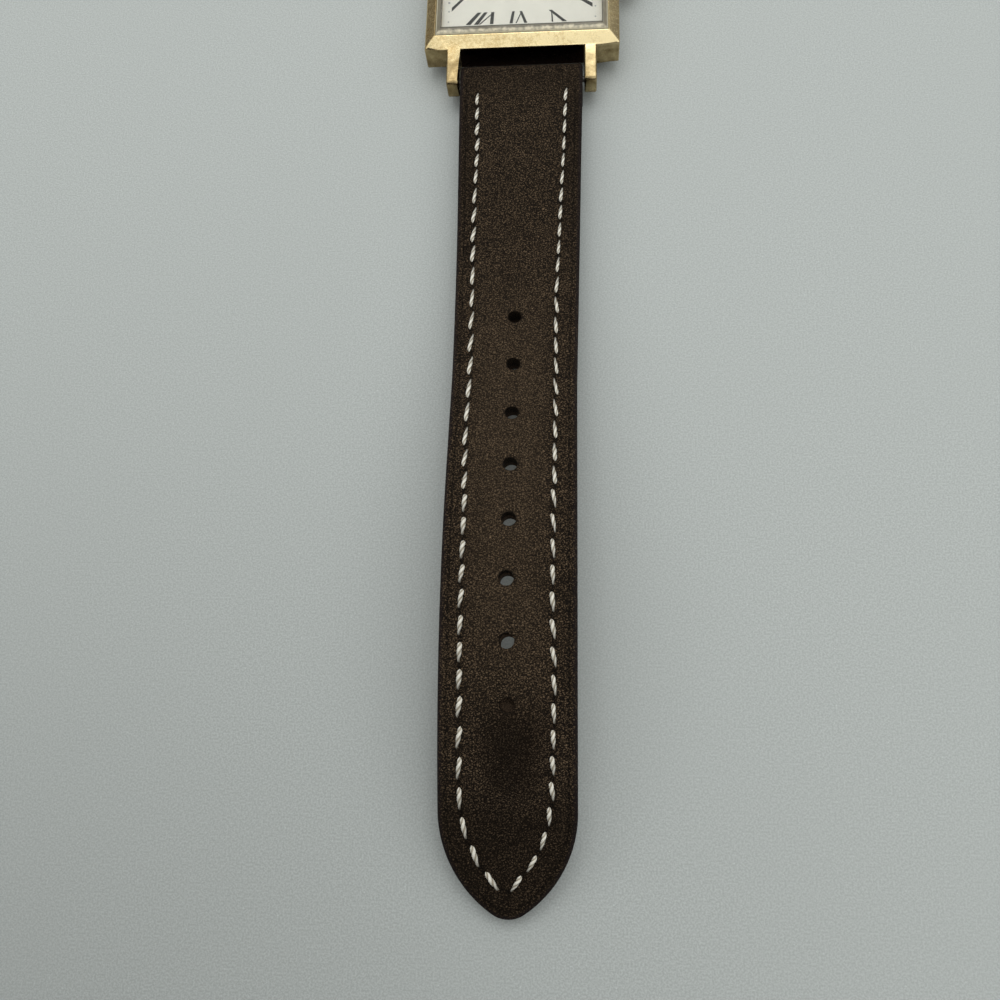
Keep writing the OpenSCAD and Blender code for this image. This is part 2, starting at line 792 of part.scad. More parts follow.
module centre_wheel() {
    top = minute_hand_z + hand_t - dial_low;
    color(brass) union() {
        gear(centre_teeth, module_c, centre_level, wheel_t + 0.05);
        arbor(bridge_level + pivot_reach, centre_level, pivot_r);
        arbor(bridge_level - bridge_play, -top, arbor_r);
    }
}

module cannon_pinion() {
    top = minute_hand_z + hand_t - dial_low;
    color(steel) difference() {
        union() {
            gear(cannon_teeth, module_m, 0.58, 0.22);
            arbor(plate_t + 0.05, -top, cannon_r);
        }
        disc(plate_t + over, plate_t + over + top + over, arbor_r + press_gap);
    }
}

module minute_wheel() {
    color(brass) at_xy(minute_at) difference() {
        union() {
            gear(minute_teeth, module_m, 0.55, 0.18, minute_phase);
            gear(minute_leaves, module_m, 0.4, 0.32, minute_phase);
        }
        disc(recess_h + over, recess_h + 2 * over, arbor_r + 0.03);
    }
}

module hour_wheel() {
    top = hour_hand_z + hand_t - dial_low;
    color(brass) difference() {
        union() {
            gear(hour_teeth, module_m, 0.3, 0.18, hour_phase);
            arbor(0.3, -top, pipe_r);
        }
        disc(recess_h + over, recess_h + top + 2 * over, cannon_r + 0.06);
    }
}

// A slender leaf-shaped hand pointing at an angle clockwise from 12, with a tail and a round boss
module hand(length, width, boss_r, hole_r, z, angle) {
    tail = 1.7;
    outline = [[-0.16, 0], [-width / 2, 0.45 * length], [-0.05, length], [0.05, length],
        [width / 2, 0.45 * length], [0.16, 0], [0.3, -tail], [-0.3, -tail]];
    translate([0, 0, z]) rotate([0, 0, -angle]) difference() {
        union() {
            cylinder(r = boss_r, h = hand_t);
            linear_extrude(hand_t) polygon(outline);
        }
        translate([0, 0, -over]) cylinder(r = hole_r, h = hand_t + 2 * over);
    }
}

module hour_hand() {
    color(gold) hand(hour_hand_len, 0.95, pipe_r + 0.35, pipe_r, hour_hand_z, hour_angle);
}

module minute_hand() {
    color(gold) hand(minute_hand_len, 0.75, cannon_r + 0.4, cannon_r, minute_hand_z, minute_angle);
}

// Crown and keyless work

module winding_stem() {
    end = crown_x + crown_len - stem_seat - run_gap;
    color(steel) translate([0, 0, stem_z]) difference() {
        union() {
            translate([stem_in, -square_side / 2, -square_side / 2])
                cube([square_end - stem_in + loose_gap, square_side, square_side]);
            rod_x(square_end, end, stem_r);
        }
        translate([groove_x - stem_groove_w / 2, 0, 0]) difference() {
            rod_x(0, stem_groove_w, stem_r + over);
            rod_x(-over, stem_groove_w + over, stem_core_r);
        }
    }
}

module setting_pinion() {
    hole = square_side + 0.04;
    color(steel) translate([setting_x, 0, stem_z]) rotate([0, 90, 0]) difference() {
        linear_extrude(setting_len) gear_outline(setting_teeth, module_m);
        translate([-hole / 2, -hole / 2, -over]) cube([hole, hole, setting_len + 2 * over]);
    }
}

module setting_lever() {
    color(steel) at_xy([lever_x, -lever_len]) rotate([0, 0, lever_swing]) difference() {
        union() {
            disc(lever_level + lever_t, lever_t, lever_boss_r);
            translate([-lever_arm_w / 2, 0, dial_low - lever_level - lever_t])
                cube([lever_arm_w, lever_len, lever_t]);
            translate([0, lever_len, 0]) disc(lever_level + lever_t, lever_t + 0.3, lever_pin_r);
        }
        disc(lever_level + lever_t + over, lever_t + 2 * over, lever_post_r + run_gap);
    }
}

module crown_tube() {
    color(steel) translate([0, 0, stem_z]) difference() {
        rod_x(chamber_half, tube_end, tube_r);
        rod_x(chamber_half - over, tube_end + over, tube_bore_r);
    }
}

module crown() {
    r = crown_d / 2;
    end = crown_x + crown_len;
    color(gold) translate([0, 0, stem_z]) difference() {
        union() {
            rod_x(crown_x, end - crown_chamfer, r);
            translate([end - crown_chamfer, 0, 0]) rotate([0, 90, 0])
                cylinder(r1 = r, r2 = r - crown_chamfer_w, h = crown_chamfer);
        }
        rod_x(crown_x - over, end - crown_cap, crown_bore_r);
        rod_x(crown_x, end - stem_seat, stem_r + press_gap);
        for (i = [0:crown_grooves - 1]) rotate([i * 360 / crown_grooves, 0, 0])
            translate([0, 0, r + groove_r / 3])
                rod_x(crown_x - over, end - crown_chamfer, groove_r, $fn = 16);
    }
}

module crown_gasket() {
    color(rubber) translate([0, 0, stem_z]) difference() {
        rod_x(crown_gasket_x, crown_gasket_x + crown_gasket_w, crown_bore_r - press_gap);
        rod_x(crown_gasket_x - over, crown_gasket_x + crown_gasket_w + over, tube_r + 0.02);
    }
}

// Spring bars: a tube, a sliding tip at each end and a spring that parts them

module bar_tube(half_len) {
    color(steel) difference() {
        rod_x(-half_len, half_len, bar_r);
        rod_x(-half_len + bar_cap, half_len - bar_cap, bar_bore_r);
        rod_x(-half_len - over, half_len + over, tip_r + 0.04);
    }
}

module bar_tip(half_len, reach) {
    collar_x = half_len - bar_cap - press_gap;
    color(steel) union() {
        rod_x(collar_x - collar_len, collar_x, collar_r);
        rod_x(collar_x - collar_len / 2, reach - tip_cone, tip_r);
        translate([reach - tip_cone, 0, 0]) rotate([0, 90, 0])
            cylinder(r1 = tip_r, r2 = tip_r - 0.6 * tip_cone, h = tip_cone);
    }
}

module bar_spring(half_len) {
    end = half_len - bar_cap - press_gap - collar_len;
    coils = 16;
    step = 2 * end / coils;
    outline = concat([[0.22, -end]],
        [for (i = [0:coils - 1], k = [[0.36, 0], [0.48, 0.5]]) [k[0], -end + (i + k[1]) * step]],
        [[0.36, end], [0.22, end]]);
    color(steel) rotate([0, 90, 0]) rotate_extrude() polygon(outline);
}

module at_lug_bar(side) {
    translate([0, side * bar_y, bar_z]) children();
}

module at_buckle_bar() {
    translate([0, buckle_y, buckle_z]) children();
}

module bar_6_tube() { at_lug_bar(-1) bar_tube(lug_bar_half); }
module bar_6_tip_left() { at_lug_bar(-1) mirror([1, 0, 0]) bar_tip(lug_bar_half, lug_tip_reach); }
module bar_6_tip_right() { at_lug_bar(-1) bar_tip(lug_bar_half, lug_tip_reach); }
module bar_6_spring() { at_lug_bar(-1) bar_spring(lug_bar_half); }
module bar_12_tube() { at_lug_bar(1) bar_tube(lug_bar_half); }
module bar_12_tip_left() { at_lug_bar(1) mirror([1, 0, 0]) bar_tip(lug_bar_half, lug_tip_reach); }
module bar_12_tip_right() { at_lug_bar(1) bar_tip(lug_bar_half, lug_tip_reach); }
module bar_12_spring() { at_lug_bar(1) bar_spring(lug_bar_half); }
module buckle_bar_tube() { at_buckle_bar() bar_tube(buckle_bar_half); }
module buckle_bar_tip_left() {
    at_buckle_bar() mirror([1, 0, 0]) bar_tip(buckle_bar_half, buckle_tip_reach);
}
module buckle_bar_tip_right() { at_buckle_bar() bar_tip(buckle_bar_half, buckle_tip_reach); }
module buckle_bar_spring() { at_buckle_bar() bar_spring(buckle_bar_half); }

// Strap layers

// Distances along a piece at which its outline has points
function stations(from, to) =
    let (n = max(1, ceil((to - from) / band_step))) [for (i = [0:n]) from + (to - from) * i / n];

// Layer between an upper and a lower list of points, seen from the side
module layer(upper, lower, width) {
    n = len(lower);
    rotate([90, 0, 90]) linear_extrude(width, center = true)
        polygon(concat(upper, [for (i = [1:n]) lower[n - i]]));
}

// Upright prism with the strap's outline seen from above
module plan(across, half_w) {
    n = len(across);
    points = concat([for (i = [0:n - 1]) [half_w[i], across[i]]],
        [for (i = [1:n]) [-half_w[n - i], across[n - i]]]);
    translate([0, 0, -cut_reach]) linear_extrude(3 * cut_reach) polygon(points);
}

// Stations for the outlines: closer together round the point
long_stations = concat(stations(0, shoulder),
    [for (k = [1, 2, 3, 4, 5, 6, 7, 8]) shoulder + point_len * sin(90 * k / 8.35)]);
short_stations = stations(0, short_len);

module long_plan(inset = 0, from = -hem) {
    s = [for (v = long_stations) if (v > from && long_half(v, inset) > 0.1) v];
    plan([for (v = concat([from], s)) strap_point(long_bends, v, strap_t / 2)[0]],
        [for (v = concat([from], s)) long_half(max(0, v), inset)]);
}

module short_plan(inset = 0, from = -hem) {
    s = [for (v = short_stations) if (v > from) v];
    plan([for (v = concat([from], s, [short_len + hem])) strap_point(short_bends, v, strap_t / 2)[0]],
        [for (v = concat([from], s, [short_len])) short_half(max(0, v), inset)]);
}

// Depths of the layers' faces at a distance along a piece
function rise(s, run) = s > run ? 0 : pad_rise * min(1, s / wrap_len, (run - s) / 12);
function long_side(s_list, upper) = [for (s = s_list)
    strap_point(long_bends, s,
        upper == "top" ? 0 : upper == "rise" ? -rise(s, padding_len)
        : upper == "under_top" ? leather_t : upper == "lining" ? thickness(s, padding_len) - leather_t
        : thickness(s, padding_len))];
function short_side(s_list, upper) = [for (s = s_list)
    strap_point(short_bends, s,
        upper == "top" ? 0 : upper == "rise" ? -rise(s, short_padding_len)
        : upper == "under_top" ? leather_t
        : upper == "lining" ? short_thickness(s) - leather_t : short_thickness(s))];
function short_thickness(s) =
    s < short_len - slot_len ? thickness(s, short_padding_len)
    : strap_t + (2 * buckle_loop_r - strap_t) * (s - short_len + slot_len) / slot_len;

module loop_at(y, z, r) {
    translate([0, y, z]) rod_x(-wide / 2, wide / 2, r);
}

// Straight-through holes square to the strap, for the tang
module tang_holes() {
    for (i = [0:hole_count - 1]) {
        p = strap_at(long_bends, first_hole + i * hole_pitch);
        translate([0, p[0], p[1]]) rotate([p[2], 0, 0]) translate([0, 0, -2 * strap_t])
            cylinder(d = hole_d, h = 4 * strap_t);
    }
}

module long_padding_solid() {
    s = [for (v = stations(wrap_len, long_len)) if (v < pad_end) v];
    intersection() {
        layer(long_side(s, "under_top"), long_side(s, "lining"), wide);
        long_plan(pad_margin);
    }
}

module long_strap_top() {
    body = stations(wrap_len, long_len);
    wrap = stations(0, wrap_len);
    ridge = stations(0, padding_len);
    color(leather) mirror([0, 1, 0]) difference() {
        union() {
            intersection() {
                union() {
                    layer(long_side(body, "top"), long_side(body, "lining"), wide);
                    layer(long_side(wrap, "top"), long_side(wrap, "bottom"), wide);
                    loop_at(bar_y, bar_z, loop_r);
                }
                long_plan();
            }
            intersection() {
                layer(long_side(ridge, "rise"), long_side(ridge, "under_top"), wide);
                long_plan(pad_margin, 0.5);
            }
        }
        loop_at(bar_y, bar_z, loop_bore_r);
        long_padding_solid();
        tang_holes();
    }
}

module long_strap_padding() {
    color("tan") mirror([0, 1, 0]) long_padding_solid();
}

module long_strap_lining() {
    s = stations(wrap_len, long_len);
    color("#5a4636") mirror([0, 1, 0]) difference() {
        intersection() {
            layer(long_side(s, "lining"), long_side(s, "bottom"), wide);
            long_plan();
        }
        tang_holes();
    }
}

// One stitch lying on a face, along a direction in plan
module stitch(bends, s, x, turn, depth) {
    p = strap_at(bends, s);
    translate([x, p[0], p[1]]) rotate([p[2], 0, 0]) translate([0, 0, -depth]) rotate([0, 0, turn])
        cube([stitch_w, stitch_len, stitch_t], center = true);
}

module long_strap_stitching() {
    count = floor((long_len - 3.6 - wrap_len) / stitch_pitch);
    color(thread) mirror([0, 1, 0]) for (i = [0:count - 1], side = [-1, 1]) {
        s = wrap_len + (i + 0.5) * stitch_pitch;
        x = long_half(s, stitch_inset);
        slope = atan((long_half(s + 0.5, stitch_inset) - long_half(s - 0.5, stitch_inset)));
        stitch(long_bends, s, side * x, -side * slope, 0);
        stitch(long_bends, s, side * x, -side * slope, thickness(s, padding_len));
    }
}

module short_padding_solid() {
    s = [for (v = stations(wrap_len, short_len - slot_len)) if (v < short_pad_end) v];
    intersection() {
        layer(short_side(s, "under_top"), short_side(s, "lining"), wide);
        short_plan(pad_margin);
    }
}

// Slot in the end of the short piece, where the tang turns on the bar
module tang_slot_cut() {
    at = strap_at(short_bends, short_len - slot_len);
    translate([-tang_slot / 2, at[0], -cut_reach])
        cube([tang_slot, slot_len + hem, 2 * cut_reach]);
}

module short_strap_top() {
    fold_s = short_len - slot_len;
    body = concat(stations(wrap_len, fold_s), [fold_s + slot_len / 10]);
    wrap = stations(0, wrap_len);
    fold = stations(fold_s, short_len);
    ridge = stations(0, short_padding_len);
    color(leather) difference() {
        union() {
            intersection() {
                union() {
                    layer(short_side(body, "top"), short_side(body, "lining"), wide);
                    layer(short_side(wrap, "top"), short_side(wrap, "bottom"), wide);
                    layer(short_side(fold, "top"), short_side(fold, "bottom"), wide);
                    loop_at(bar_y, bar_z, loop_r);
                    loop_at(buckle_y, buckle_z, buckle_loop_r);
                }
                short_plan();
            }
            intersection() {
                layer(short_side(ridge, "rise"), short_side(ridge, "under_top"), wide);
                short_plan(pad_margin, 0.5);
            }
        }
        loop_at(bar_y, bar_z, loop_bore_r);
        loop_at(buckle_y, buckle_z, loop_bore_r);
        short_padding_solid();
        tang_slot_cut();
    }
}

module short_strap_padding() {
    color("tan") short_padding_solid();
}

module short_strap_lining() {
    s = stations(wrap_len, short_len - slot_len);
    color("#5a4636") intersection() {
        layer(short_side(s, "lining"), short_side(s, "bottom"), wide);
        short_plan();
    }
}

module short_strap_stitching() {
    count = floor((fixed_keeper_s - keeper_w / 2 - wrap_len) / stitch_pitch);
    color(thread) for (i = [0:count - 1], side = [-1, 1]) {
        s = wrap_len + (i + 0.5) * stitch_pitch;
        x = short_half(s, stitch_inset);
        stitch(short_bends, s, side * x, 0, 0);
        stitch(short_bends, s, side * x, 0, short_thickness(s));
    }
}

// Keeper: a leather loop round the short piece, with room above it for the long one
module keeper(s, gap) {
    p = strap_at(short_bends, s);
    in_w = short_w + 2 * gap;
    in_h = keeper_room + 2 * gap;
    round = 1.3 * keeper_t;
    middle = keeper_room / 2 - strap_t;
    color(leather) translate([0, p[0], p[1]]) rotate([90 + p[2], 0, 0])
        translate([0, middle, 0]) linear_extrude(keeper_w, center = true) difference() {
            rounded_rect(in_w + 2 * keeper_t, in_h + 2 * keeper_t, round);
            square([in_w, in_h], center = true);
        }
}

module fixed_keeper() { keeper(fixed_keeper_s, press_gap); }
module free_keeper() { keeper(free_keeper_s, 3 * loose_gap); }

// Buckle

module buckle_frame() {
    outer = ear_half + rail_w;
    bore_half = buckle_tip_reach + tip_clear;
    color(gold) at_buckle_bar() rotate([-buckle_droop, 0, 0]) difference() {
        translate([0, 0, -buckle_t / 2]) linear_extrude(buckle_t) difference() {
            translate([0, (buckle_reach - ear_back) / 2])
                rounded_rect(2 * outer, buckle_reach + ear_back, 0.8 * rail_w);
            translate([-ear_half, -ear_back - over])
                square([2 * ear_half, ear_back + over + buckle_reach - front_w]);
        }
        rod_x(-bore_half, bore_half, tip_r + run_gap);
    }
}

module buckle_tang() {
    rest = buckle_t / 2 + run_gap;
    tip = buckle_reach - 0.2 * front_w;
    low = 0.3;
    color(gold) at_buckle_bar() rotate([-buckle_droop, 0, 0]) difference() {
        union() {
            rod_x(-tang_w / 2, tang_w / 2, tang_loop_r);
            translate([-tang_w / 2, 0, 0]) rotate([90, 0, 90]) linear_extrude(tang_w)
                polygon([[0, low], [0, tang_loop_r], [0.3 * buckle_reach, rest + 1.4 * tang_t],
                    [tip - tang_t / 2, rest + tang_t], [tip, rest + tang_t / 2], [tip - tang_t / 3, rest],
                    [buckle_reach - 1.4 * front_w, rest], [0.9 * tang_loop_r, low]]);
        }
        rod_x(-tang_w, tang_w, loop_bore_r);
    }
}

case_middle();
case_back();
case_back_gasket();
crystal();
crystal_gasket();
dial();
hour_numerals();
minute_dots();
movement_holder();
main_plate();
train_bridge();
movement_screws();
circuit_board();
integrated_circuit();
quartz_can();
drive_coil();
coil_core();
stator();
battery();
battery_clamp();
rotor();
intermediate_wheel();
third_wheel();
centre_wheel();
cannon_pinion();
minute_wheel();
hour_wheel();
hour_hand();
minute_hand();
winding_stem();
setting_pinion();
setting_lever();
crown_tube();
crown();
crown_gasket();
bar_6_tube();
bar_6_tip_left();
bar_6_tip_right();
bar_6_spring();
bar_12_tube();
bar_12_tip_left();
bar_12_tip_right();
bar_12_spring();
long_strap_top();
long_strap_padding();
long_strap_lining();
long_strap_stitching();
short_strap_top();
short_strap_padding();
short_strap_lining();
short_strap_stitching();
fixed_keeper();
free_keeper();
buckle_frame();
buckle_tang();
buckle_bar_tube();
buckle_bar_tip_left();
buckle_bar_tip_right();
buckle_bar_spring();
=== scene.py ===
"""A square quartz watch on a padded brown leather strap, dressed for a studio picture.

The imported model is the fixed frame. Every piece made here sits where its solid sits.
"""

import math

import bpy
import numpy as np
from bpy.props import FloatProperty, FloatVectorProperty, PointerProperty
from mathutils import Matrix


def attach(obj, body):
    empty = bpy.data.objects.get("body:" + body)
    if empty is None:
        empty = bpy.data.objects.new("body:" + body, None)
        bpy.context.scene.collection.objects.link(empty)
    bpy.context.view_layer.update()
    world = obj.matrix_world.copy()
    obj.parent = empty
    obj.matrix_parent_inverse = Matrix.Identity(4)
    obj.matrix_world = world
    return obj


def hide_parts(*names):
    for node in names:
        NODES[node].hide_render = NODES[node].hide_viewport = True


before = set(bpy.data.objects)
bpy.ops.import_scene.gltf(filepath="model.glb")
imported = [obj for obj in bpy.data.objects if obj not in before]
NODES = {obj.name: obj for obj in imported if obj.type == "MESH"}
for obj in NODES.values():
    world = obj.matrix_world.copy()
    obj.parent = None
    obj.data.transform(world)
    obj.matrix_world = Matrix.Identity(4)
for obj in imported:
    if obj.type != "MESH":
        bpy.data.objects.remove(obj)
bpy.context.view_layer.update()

bl_info = {
    "name": "Square watch",
    "version": (1, 0, 0),
    "blender": (4, 5, 0),
    "location": "3D View > Sidebar > Watch",
    "description": "Dresses the square watch's frame with leather, thread, gold and glass",
    "category": "Object",
}

MM = 0.001

# The strap's places in millimetres, as the solids have them: its bars, its line and its layers
BAR_Y = 17.9
BAR_Z = 3.27
LUG_LOOP = 1.7
LINE_START = (17.66047, 4.95304, 8.1)
WRAP = 4.0
LAYER = 0.9
STRAP_T = 2.1
EYE_WALL = 0.72
FOLD_S = 67.8
BUCKLE_Y = 89.08359
BUCKLE_Z = 1.58202
BUCKLE_LOOP = 1.4
BUCKLE_WALL = EYE_WALL - 0.14
TANG_SLOT = 2.6
# The leather that runs round the bar at the lugs and round the buckle's bar
LUG_RUN = 5.3
BUCKLE_RUN = 4.4
# Each strap piece's bends (length and turn), length, widths, taper and padding
LONG_BENDS = ((9.9, -9.2), (10.2, 0), (28.4, 11.6), (16.4, -2.7), (36.3, -28.4), (13.1, 4.5))
SHORT_BENDS = ((10, -1.2), (12, 0), (20, -16.1), (24, 0), (6, 9.2))
LONG_LEN = 114.3
SHORT_LEN = 72.0
LUG_W = 17.5
LONG_END_W = 15.8
SHORT_END_W = 16.0
LONG_TAPER = 49.0
SHORT_TAPER = 38.0
LONG_PAD = 56.0
SHORT_PAD = 40.0
# The long piece's pointed end: two arcs that meet in a small round tip
SHOULDER = 102.05
POINT_LEN = 12.6
POINT_HALF = 7.9
OGIVE_R = (POINT_LEN**2 + POINT_HALF**2) / (2 * POINT_HALF)
OGIVE_X = OGIVE_R - POINT_HALF
TIP_R = 3.2
TIP_S = SHOULDER + math.sqrt((OGIVE_R - TIP_R) ** 2 - OGIVE_X**2)
TIP_TURN = math.atan2(TIP_S - SHOULDER, OGIVE_X)
# The pin holes, how far each stands aside from the middle, and how far the lining has crept at each
HOLE_R = 0.9
HOLE_SIDES = 30
FIRST_HOLE = 39.9
HOLE_PITCH = 7.16
HOLE_COUNT = 8
HOLE_ASIDE = (-0.13, -0.13, -0.13, -0.13, -0.13, -0.28, -0.13, 0.0)
LINING_CREEP = ((0, 0),) * 4 + ((0.05, 0.15), (0.1, 0.25), (0.15, 0.35), (1.25, 1.65))
# Each keeper's place along the strap and its gap; then the band's width, leather, height and corners
KEEPERS = (("fixed", 62.0, 0.02), ("free", 50.0, 0.3))
KEEPER_W = 5.0
KEEPER_T = 1.1
KEEPER_TOP = 2.7
KEEPER_IN_R = 0.12
KEEPER_OUT_R = 1.43
KEEPER_STEPS = 24
# A stitch: its ends' height, steps, sides, thread's radius at the ends and its growth at the middle
STITCH_OUT = 0.02
STITCH_STEPS = 13
STITCH_SIDES = 8
THREAD_R = 0.085
THREAD_BELLY = 0.175

# The crystal's facet and the seal's lip round it, in millimetres, and the painted shade in the recess
# between the lugs
FACET_IN = 11.5
LIP = ((11.66, 6.21), (11.66, 6.38), (12.17, 6.38), (12.17, 6.86), (12.19, 6.91), (12.23, 6.93),
       (12.28, 6.89), (12.31, 6.82), (12.31, 6.5), (12.385, 6.45), (12.385, 6.21))
RECESS_SHADE = (0.022, 0.010, 0.006)

# What counts as a flat split, and as a crease to round, on a solid's copy
FLAT_SPLIT = math.radians(1.0)
CREASE = math.radians(25)

# The camera, the overhead panel and the card that shades the floor, in metres and radians
CAMERA_AT = (0.00802, -0.11839, 0.12230)
CAMERA_TURN = (0.30369704, 0.0756852, 0.02139204)
LENS = 35.87
LAMP_AT = (0.0, 0.09, 0.42)
LAMP_SIZE = (0.3, 0.24)
CARD_AT = (-0.069, -0.1954, 0.1072)
CARD_SIZE = (0.145, 0.15, 1)
CARD_TILT = math.radians(17.4)
FLOOR_SIZE = 3.0

# Where the seams wander on the long strap piece: stations and how far each row moves in from its edge
SEAM_STOPS = (5, 13, 20, 30, 36, 41, 47, 57, 66, 78, 87, 100, 103.5, 106.5, 110, 111.3)
SEAM_LEFT = (0.25, 0.4, 0.07, -0.05, -0.03, -0.02, 0.03, -0.15, 0.15, 0.12, 0.13, 0.15, 0.48, 0.75, 0.55,
             0.75)
SEAM_RIGHT = (0.0, 0.1, 0.28, 0.5, 0.6, 0.6, 0.4, 0.42, 0.45, 0.55, 0.3, 0.55, 1.02, 1.18, 1.15, 0.75)


# Selection and meshes


def rest_selection():
    """Leave edit mode and deselect everything."""
    if bpy.context.object is not None and bpy.context.object.mode != "OBJECT":
        bpy.ops.object.mode_set(mode="OBJECT")
    bpy.ops.object.select_all(action="DESELECT")


def pick(piece):
    """Make one piece the only selected and the active one."""
    rest_selection()
    piece.select_set(True)
    bpy.context.view_layer.objects.active = piece


def edit(piece, kind="FACE", everything=True):
    """Open a piece for editing with everything, or nothing, selected."""
    pick(piece)
    bpy.ops.object.mode_set(mode="EDIT")
    bpy.ops.mesh.select_mode(type=kind)
    bpy.ops.mesh.select_all(action="SELECT" if everything else "DESELECT")


def close_edit():
    bpy.ops.object.mode_set(mode="OBJECT")


def face_outward(piece):
    """Turn a closed piece's faces outward."""
    edit(piece)
    bpy.ops.mesh.normals_make_consistent(inside=False)
    close_edit()
    piece.data.calc_loop_triangles()
    places = np.array([v.co for v in piece.data.vertices])
    corners = places[[t.vertices for t in piece.data.loop_triangles]]
    if np.einsum("ij,ij->i", corners[:, 0], np.cross(corners[:, 1], corners[:, 2])).sum() < 0:
        edit(piece)
        bpy.ops.mesh.flip_normals()
        close_edit()


def weld(piece, reach=2e-6):
    """Merge a piece's doubled points and turn its faces outward."""
    edit(piece)
    bpy.ops.mesh.remove_doubles(threshold=reach)
    bpy.ops.mesh.dissolve_degenerate(threshold=reach / 4)
    close_edit()
    face_outward(piece)


def cap_ends(piece):
    """Close a shell's open ends."""
    edit(piece, "EDGE", False)
    bpy.ops.mesh.select_non_manifold(extend=False)
    bpy.ops.mesh.fill()
    close_edit()
    face_outward(piece)


def apply(piece, kind, **settings):
    """Add one modifier, set it and apply it."""
    pick(piece)
    change = piece.modifiers.new(kind.title(), kind)
    for key, value in settings.items():
        setattr(change, key, value)
    bpy.ops.object.modifier_apply(modifier=change.name)


def smooth(piece, degrees=40):
    pick(piece)
    bpy.ops.object.shade_smooth_by_angle(angle=math.radians(degrees))


def grid_piece(name, points, uv=None, marks=None):
    """A grid primitive whose points are moved to rows and columns of places, in millimetres."""
    rest_selection()
    rows, columns = points.shape[:2]
    bpy.ops.mesh.primitive_grid_add(x_subdivisions=columns - 1, y_subdivisions=rows - 1, size=1)
    piece = bpy.context.object
    piece.name = piece.data.name = name
    mesh = piece.data
    mesh.vertices.foreach_set("co", (points.reshape(-1, 3) * MM).astype(np.float32).ravel())
    if uv is not None:
        corner = np.zeros(len(mesh.loops), np.int32)
        mesh.loops.foreach_get("vertex_index", corner)
        flat = uv.reshape(-1, 2)[corner] / 100
        mesh.uv_layers[0].data.foreach_set("uv", flat.astype(np.float32).ravel())
    for key, value in (marks or {}).items():
        layer = mesh.attributes.new(key, "FLOAT", "POINT")
        layer.data.foreach_set("value", value.astype(np.float32).ravel())
    mesh.update()
    return piece


def place_copy(source, name, matrix):
    """A copy of a piece with its own mesh, turned and put in place in the mesh."""
    mesh = source.data.copy()
    mesh.vertices.foreach_set("co", turned(source.data, matrix).astype(np.float32).ravel())
    mesh.update()
    piece = bpy.data.objects.new(name, mesh)
    bpy.context.scene.collection.objects.link(piece)
    return piece


def turned(mesh, matrix):
    flat = np.zeros(len(mesh.vertices) * 3)
    mesh.vertices.foreach_get("co", flat)
    return flat.reshape(-1, 3) @ matrix[:3, :3].T + matrix[:3, 3]


def join(pieces, name):
    """Join pieces into one object under a new name."""
    rest_selection()
    for piece in pieces:
        piece.select_set(True)
    bpy.context.view_layer.objects.active = pieces[0]
    bpy.ops.object.join()
    pieces[0].name = pieces[0].data.name = name
    return pieces[0]


def drop(piece):
    mesh = piece.data
    bpy.data.objects.remove(piece)
    bpy.data.meshes.remove(mesh)


def finish_piece(piece, finish, body, slot, *nodes):
    """Give a piece its finish and body, and hide the solids that it stands for; the slot is not used."""
    piece.data.materials.clear()
    piece.data.materials.append(finish)
    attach(piece, body)
    if nodes:
        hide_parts(*nodes)


def rounded_copy(node, name, width, segments=2, share=None):
    """A copy of a solid's mesh, merged, cleaned of its flat splits and with rounded edges.

    A share says how much of the width an edge takes, by its two ends' places in millimetres.
    """
    solid = NODES[node]
    piece = bpy.data.objects.new(name, solid.data.copy())
    bpy.context.scene.collection.objects.link(piece)
    piece.data.name = name
    weld(piece, 1e-6)
    edit(piece)
    bpy.ops.mesh.dissolve_limited(angle_limit=FLAT_SPLIT)
    close_edit()
    if share is None:
        apply(piece, "BEVEL", width=width * MM, segments=segments, limit_method="ANGLE",
              angle_limit=CREASE, use_clamp_overlap=True, harden_normals=False)
    else:
        edit(piece, "EDGE", False)
        bpy.ops.mesh.edges_select_sharp(sharpness=CREASE)
        close_edit()
        mesh = piece.data
        places = [v.co / MM for v in mesh.vertices]
        weights = [share(*(places[i] for i in line.vertices)) if line.select else 0.0 for line in mesh.edges]
        mesh.attributes.new("bevel_weight_edge", "FLOAT", "EDGE").data.foreach_set("value", weights)
        apply(piece, "BEVEL", width=width * MM, segments=segments, limit_method="WEIGHT",
              use_clamp_overlap=False, harden_normals=False)
    weld(piece, 1e-6)
    smooth(piece, 35)
    return piece


def case_share(a, b):
    """How much of the full rounding each of the case's edges takes."""
    middle = (a + b) / 2
    out = max(abs(middle.x), abs(middle.y))
    if min(a.z, b.z) > 6.7:
        return 0.22
    if out < 12.45 or min(max(abs(v.x), abs(v.y)) for v in (a, b)) < 12.3:
        return 0.0
    if middle.z < 2.7 and out < 13.95:
        return 0.0
    if abs(middle.y) < 1.1 and middle.x > 0:
        return 0.15
    if 17.3 < abs(middle.y) < 18.5 and 2.7 < middle.z < 3.85:
        return 0.1
    if abs(middle.y) < 14.01 and abs(middle.x) < 10.8 and abs(a.z - b.z) < 0.01:
        return 0.0
    return 1.4 if abs(middle.z - 5.8) < 0.02 and abs(a.z - b.z) < 0.01 else 1.0


def make_lip():
    """The clear seal round the crystal, as a square ring with a rolled lip."""
    around = ((1, -1), (1, 1), (-1, 1), (-1, -1), (1, -1))
    rows = [[(x * out, y * out, z) for out, z in LIP + LIP[:1]] for x, y in around]
    lip = grid_piece("seal_lip", np.array(rows))
    weld(lip)
    smooth(lip, 50)
    return lip


# Node trees


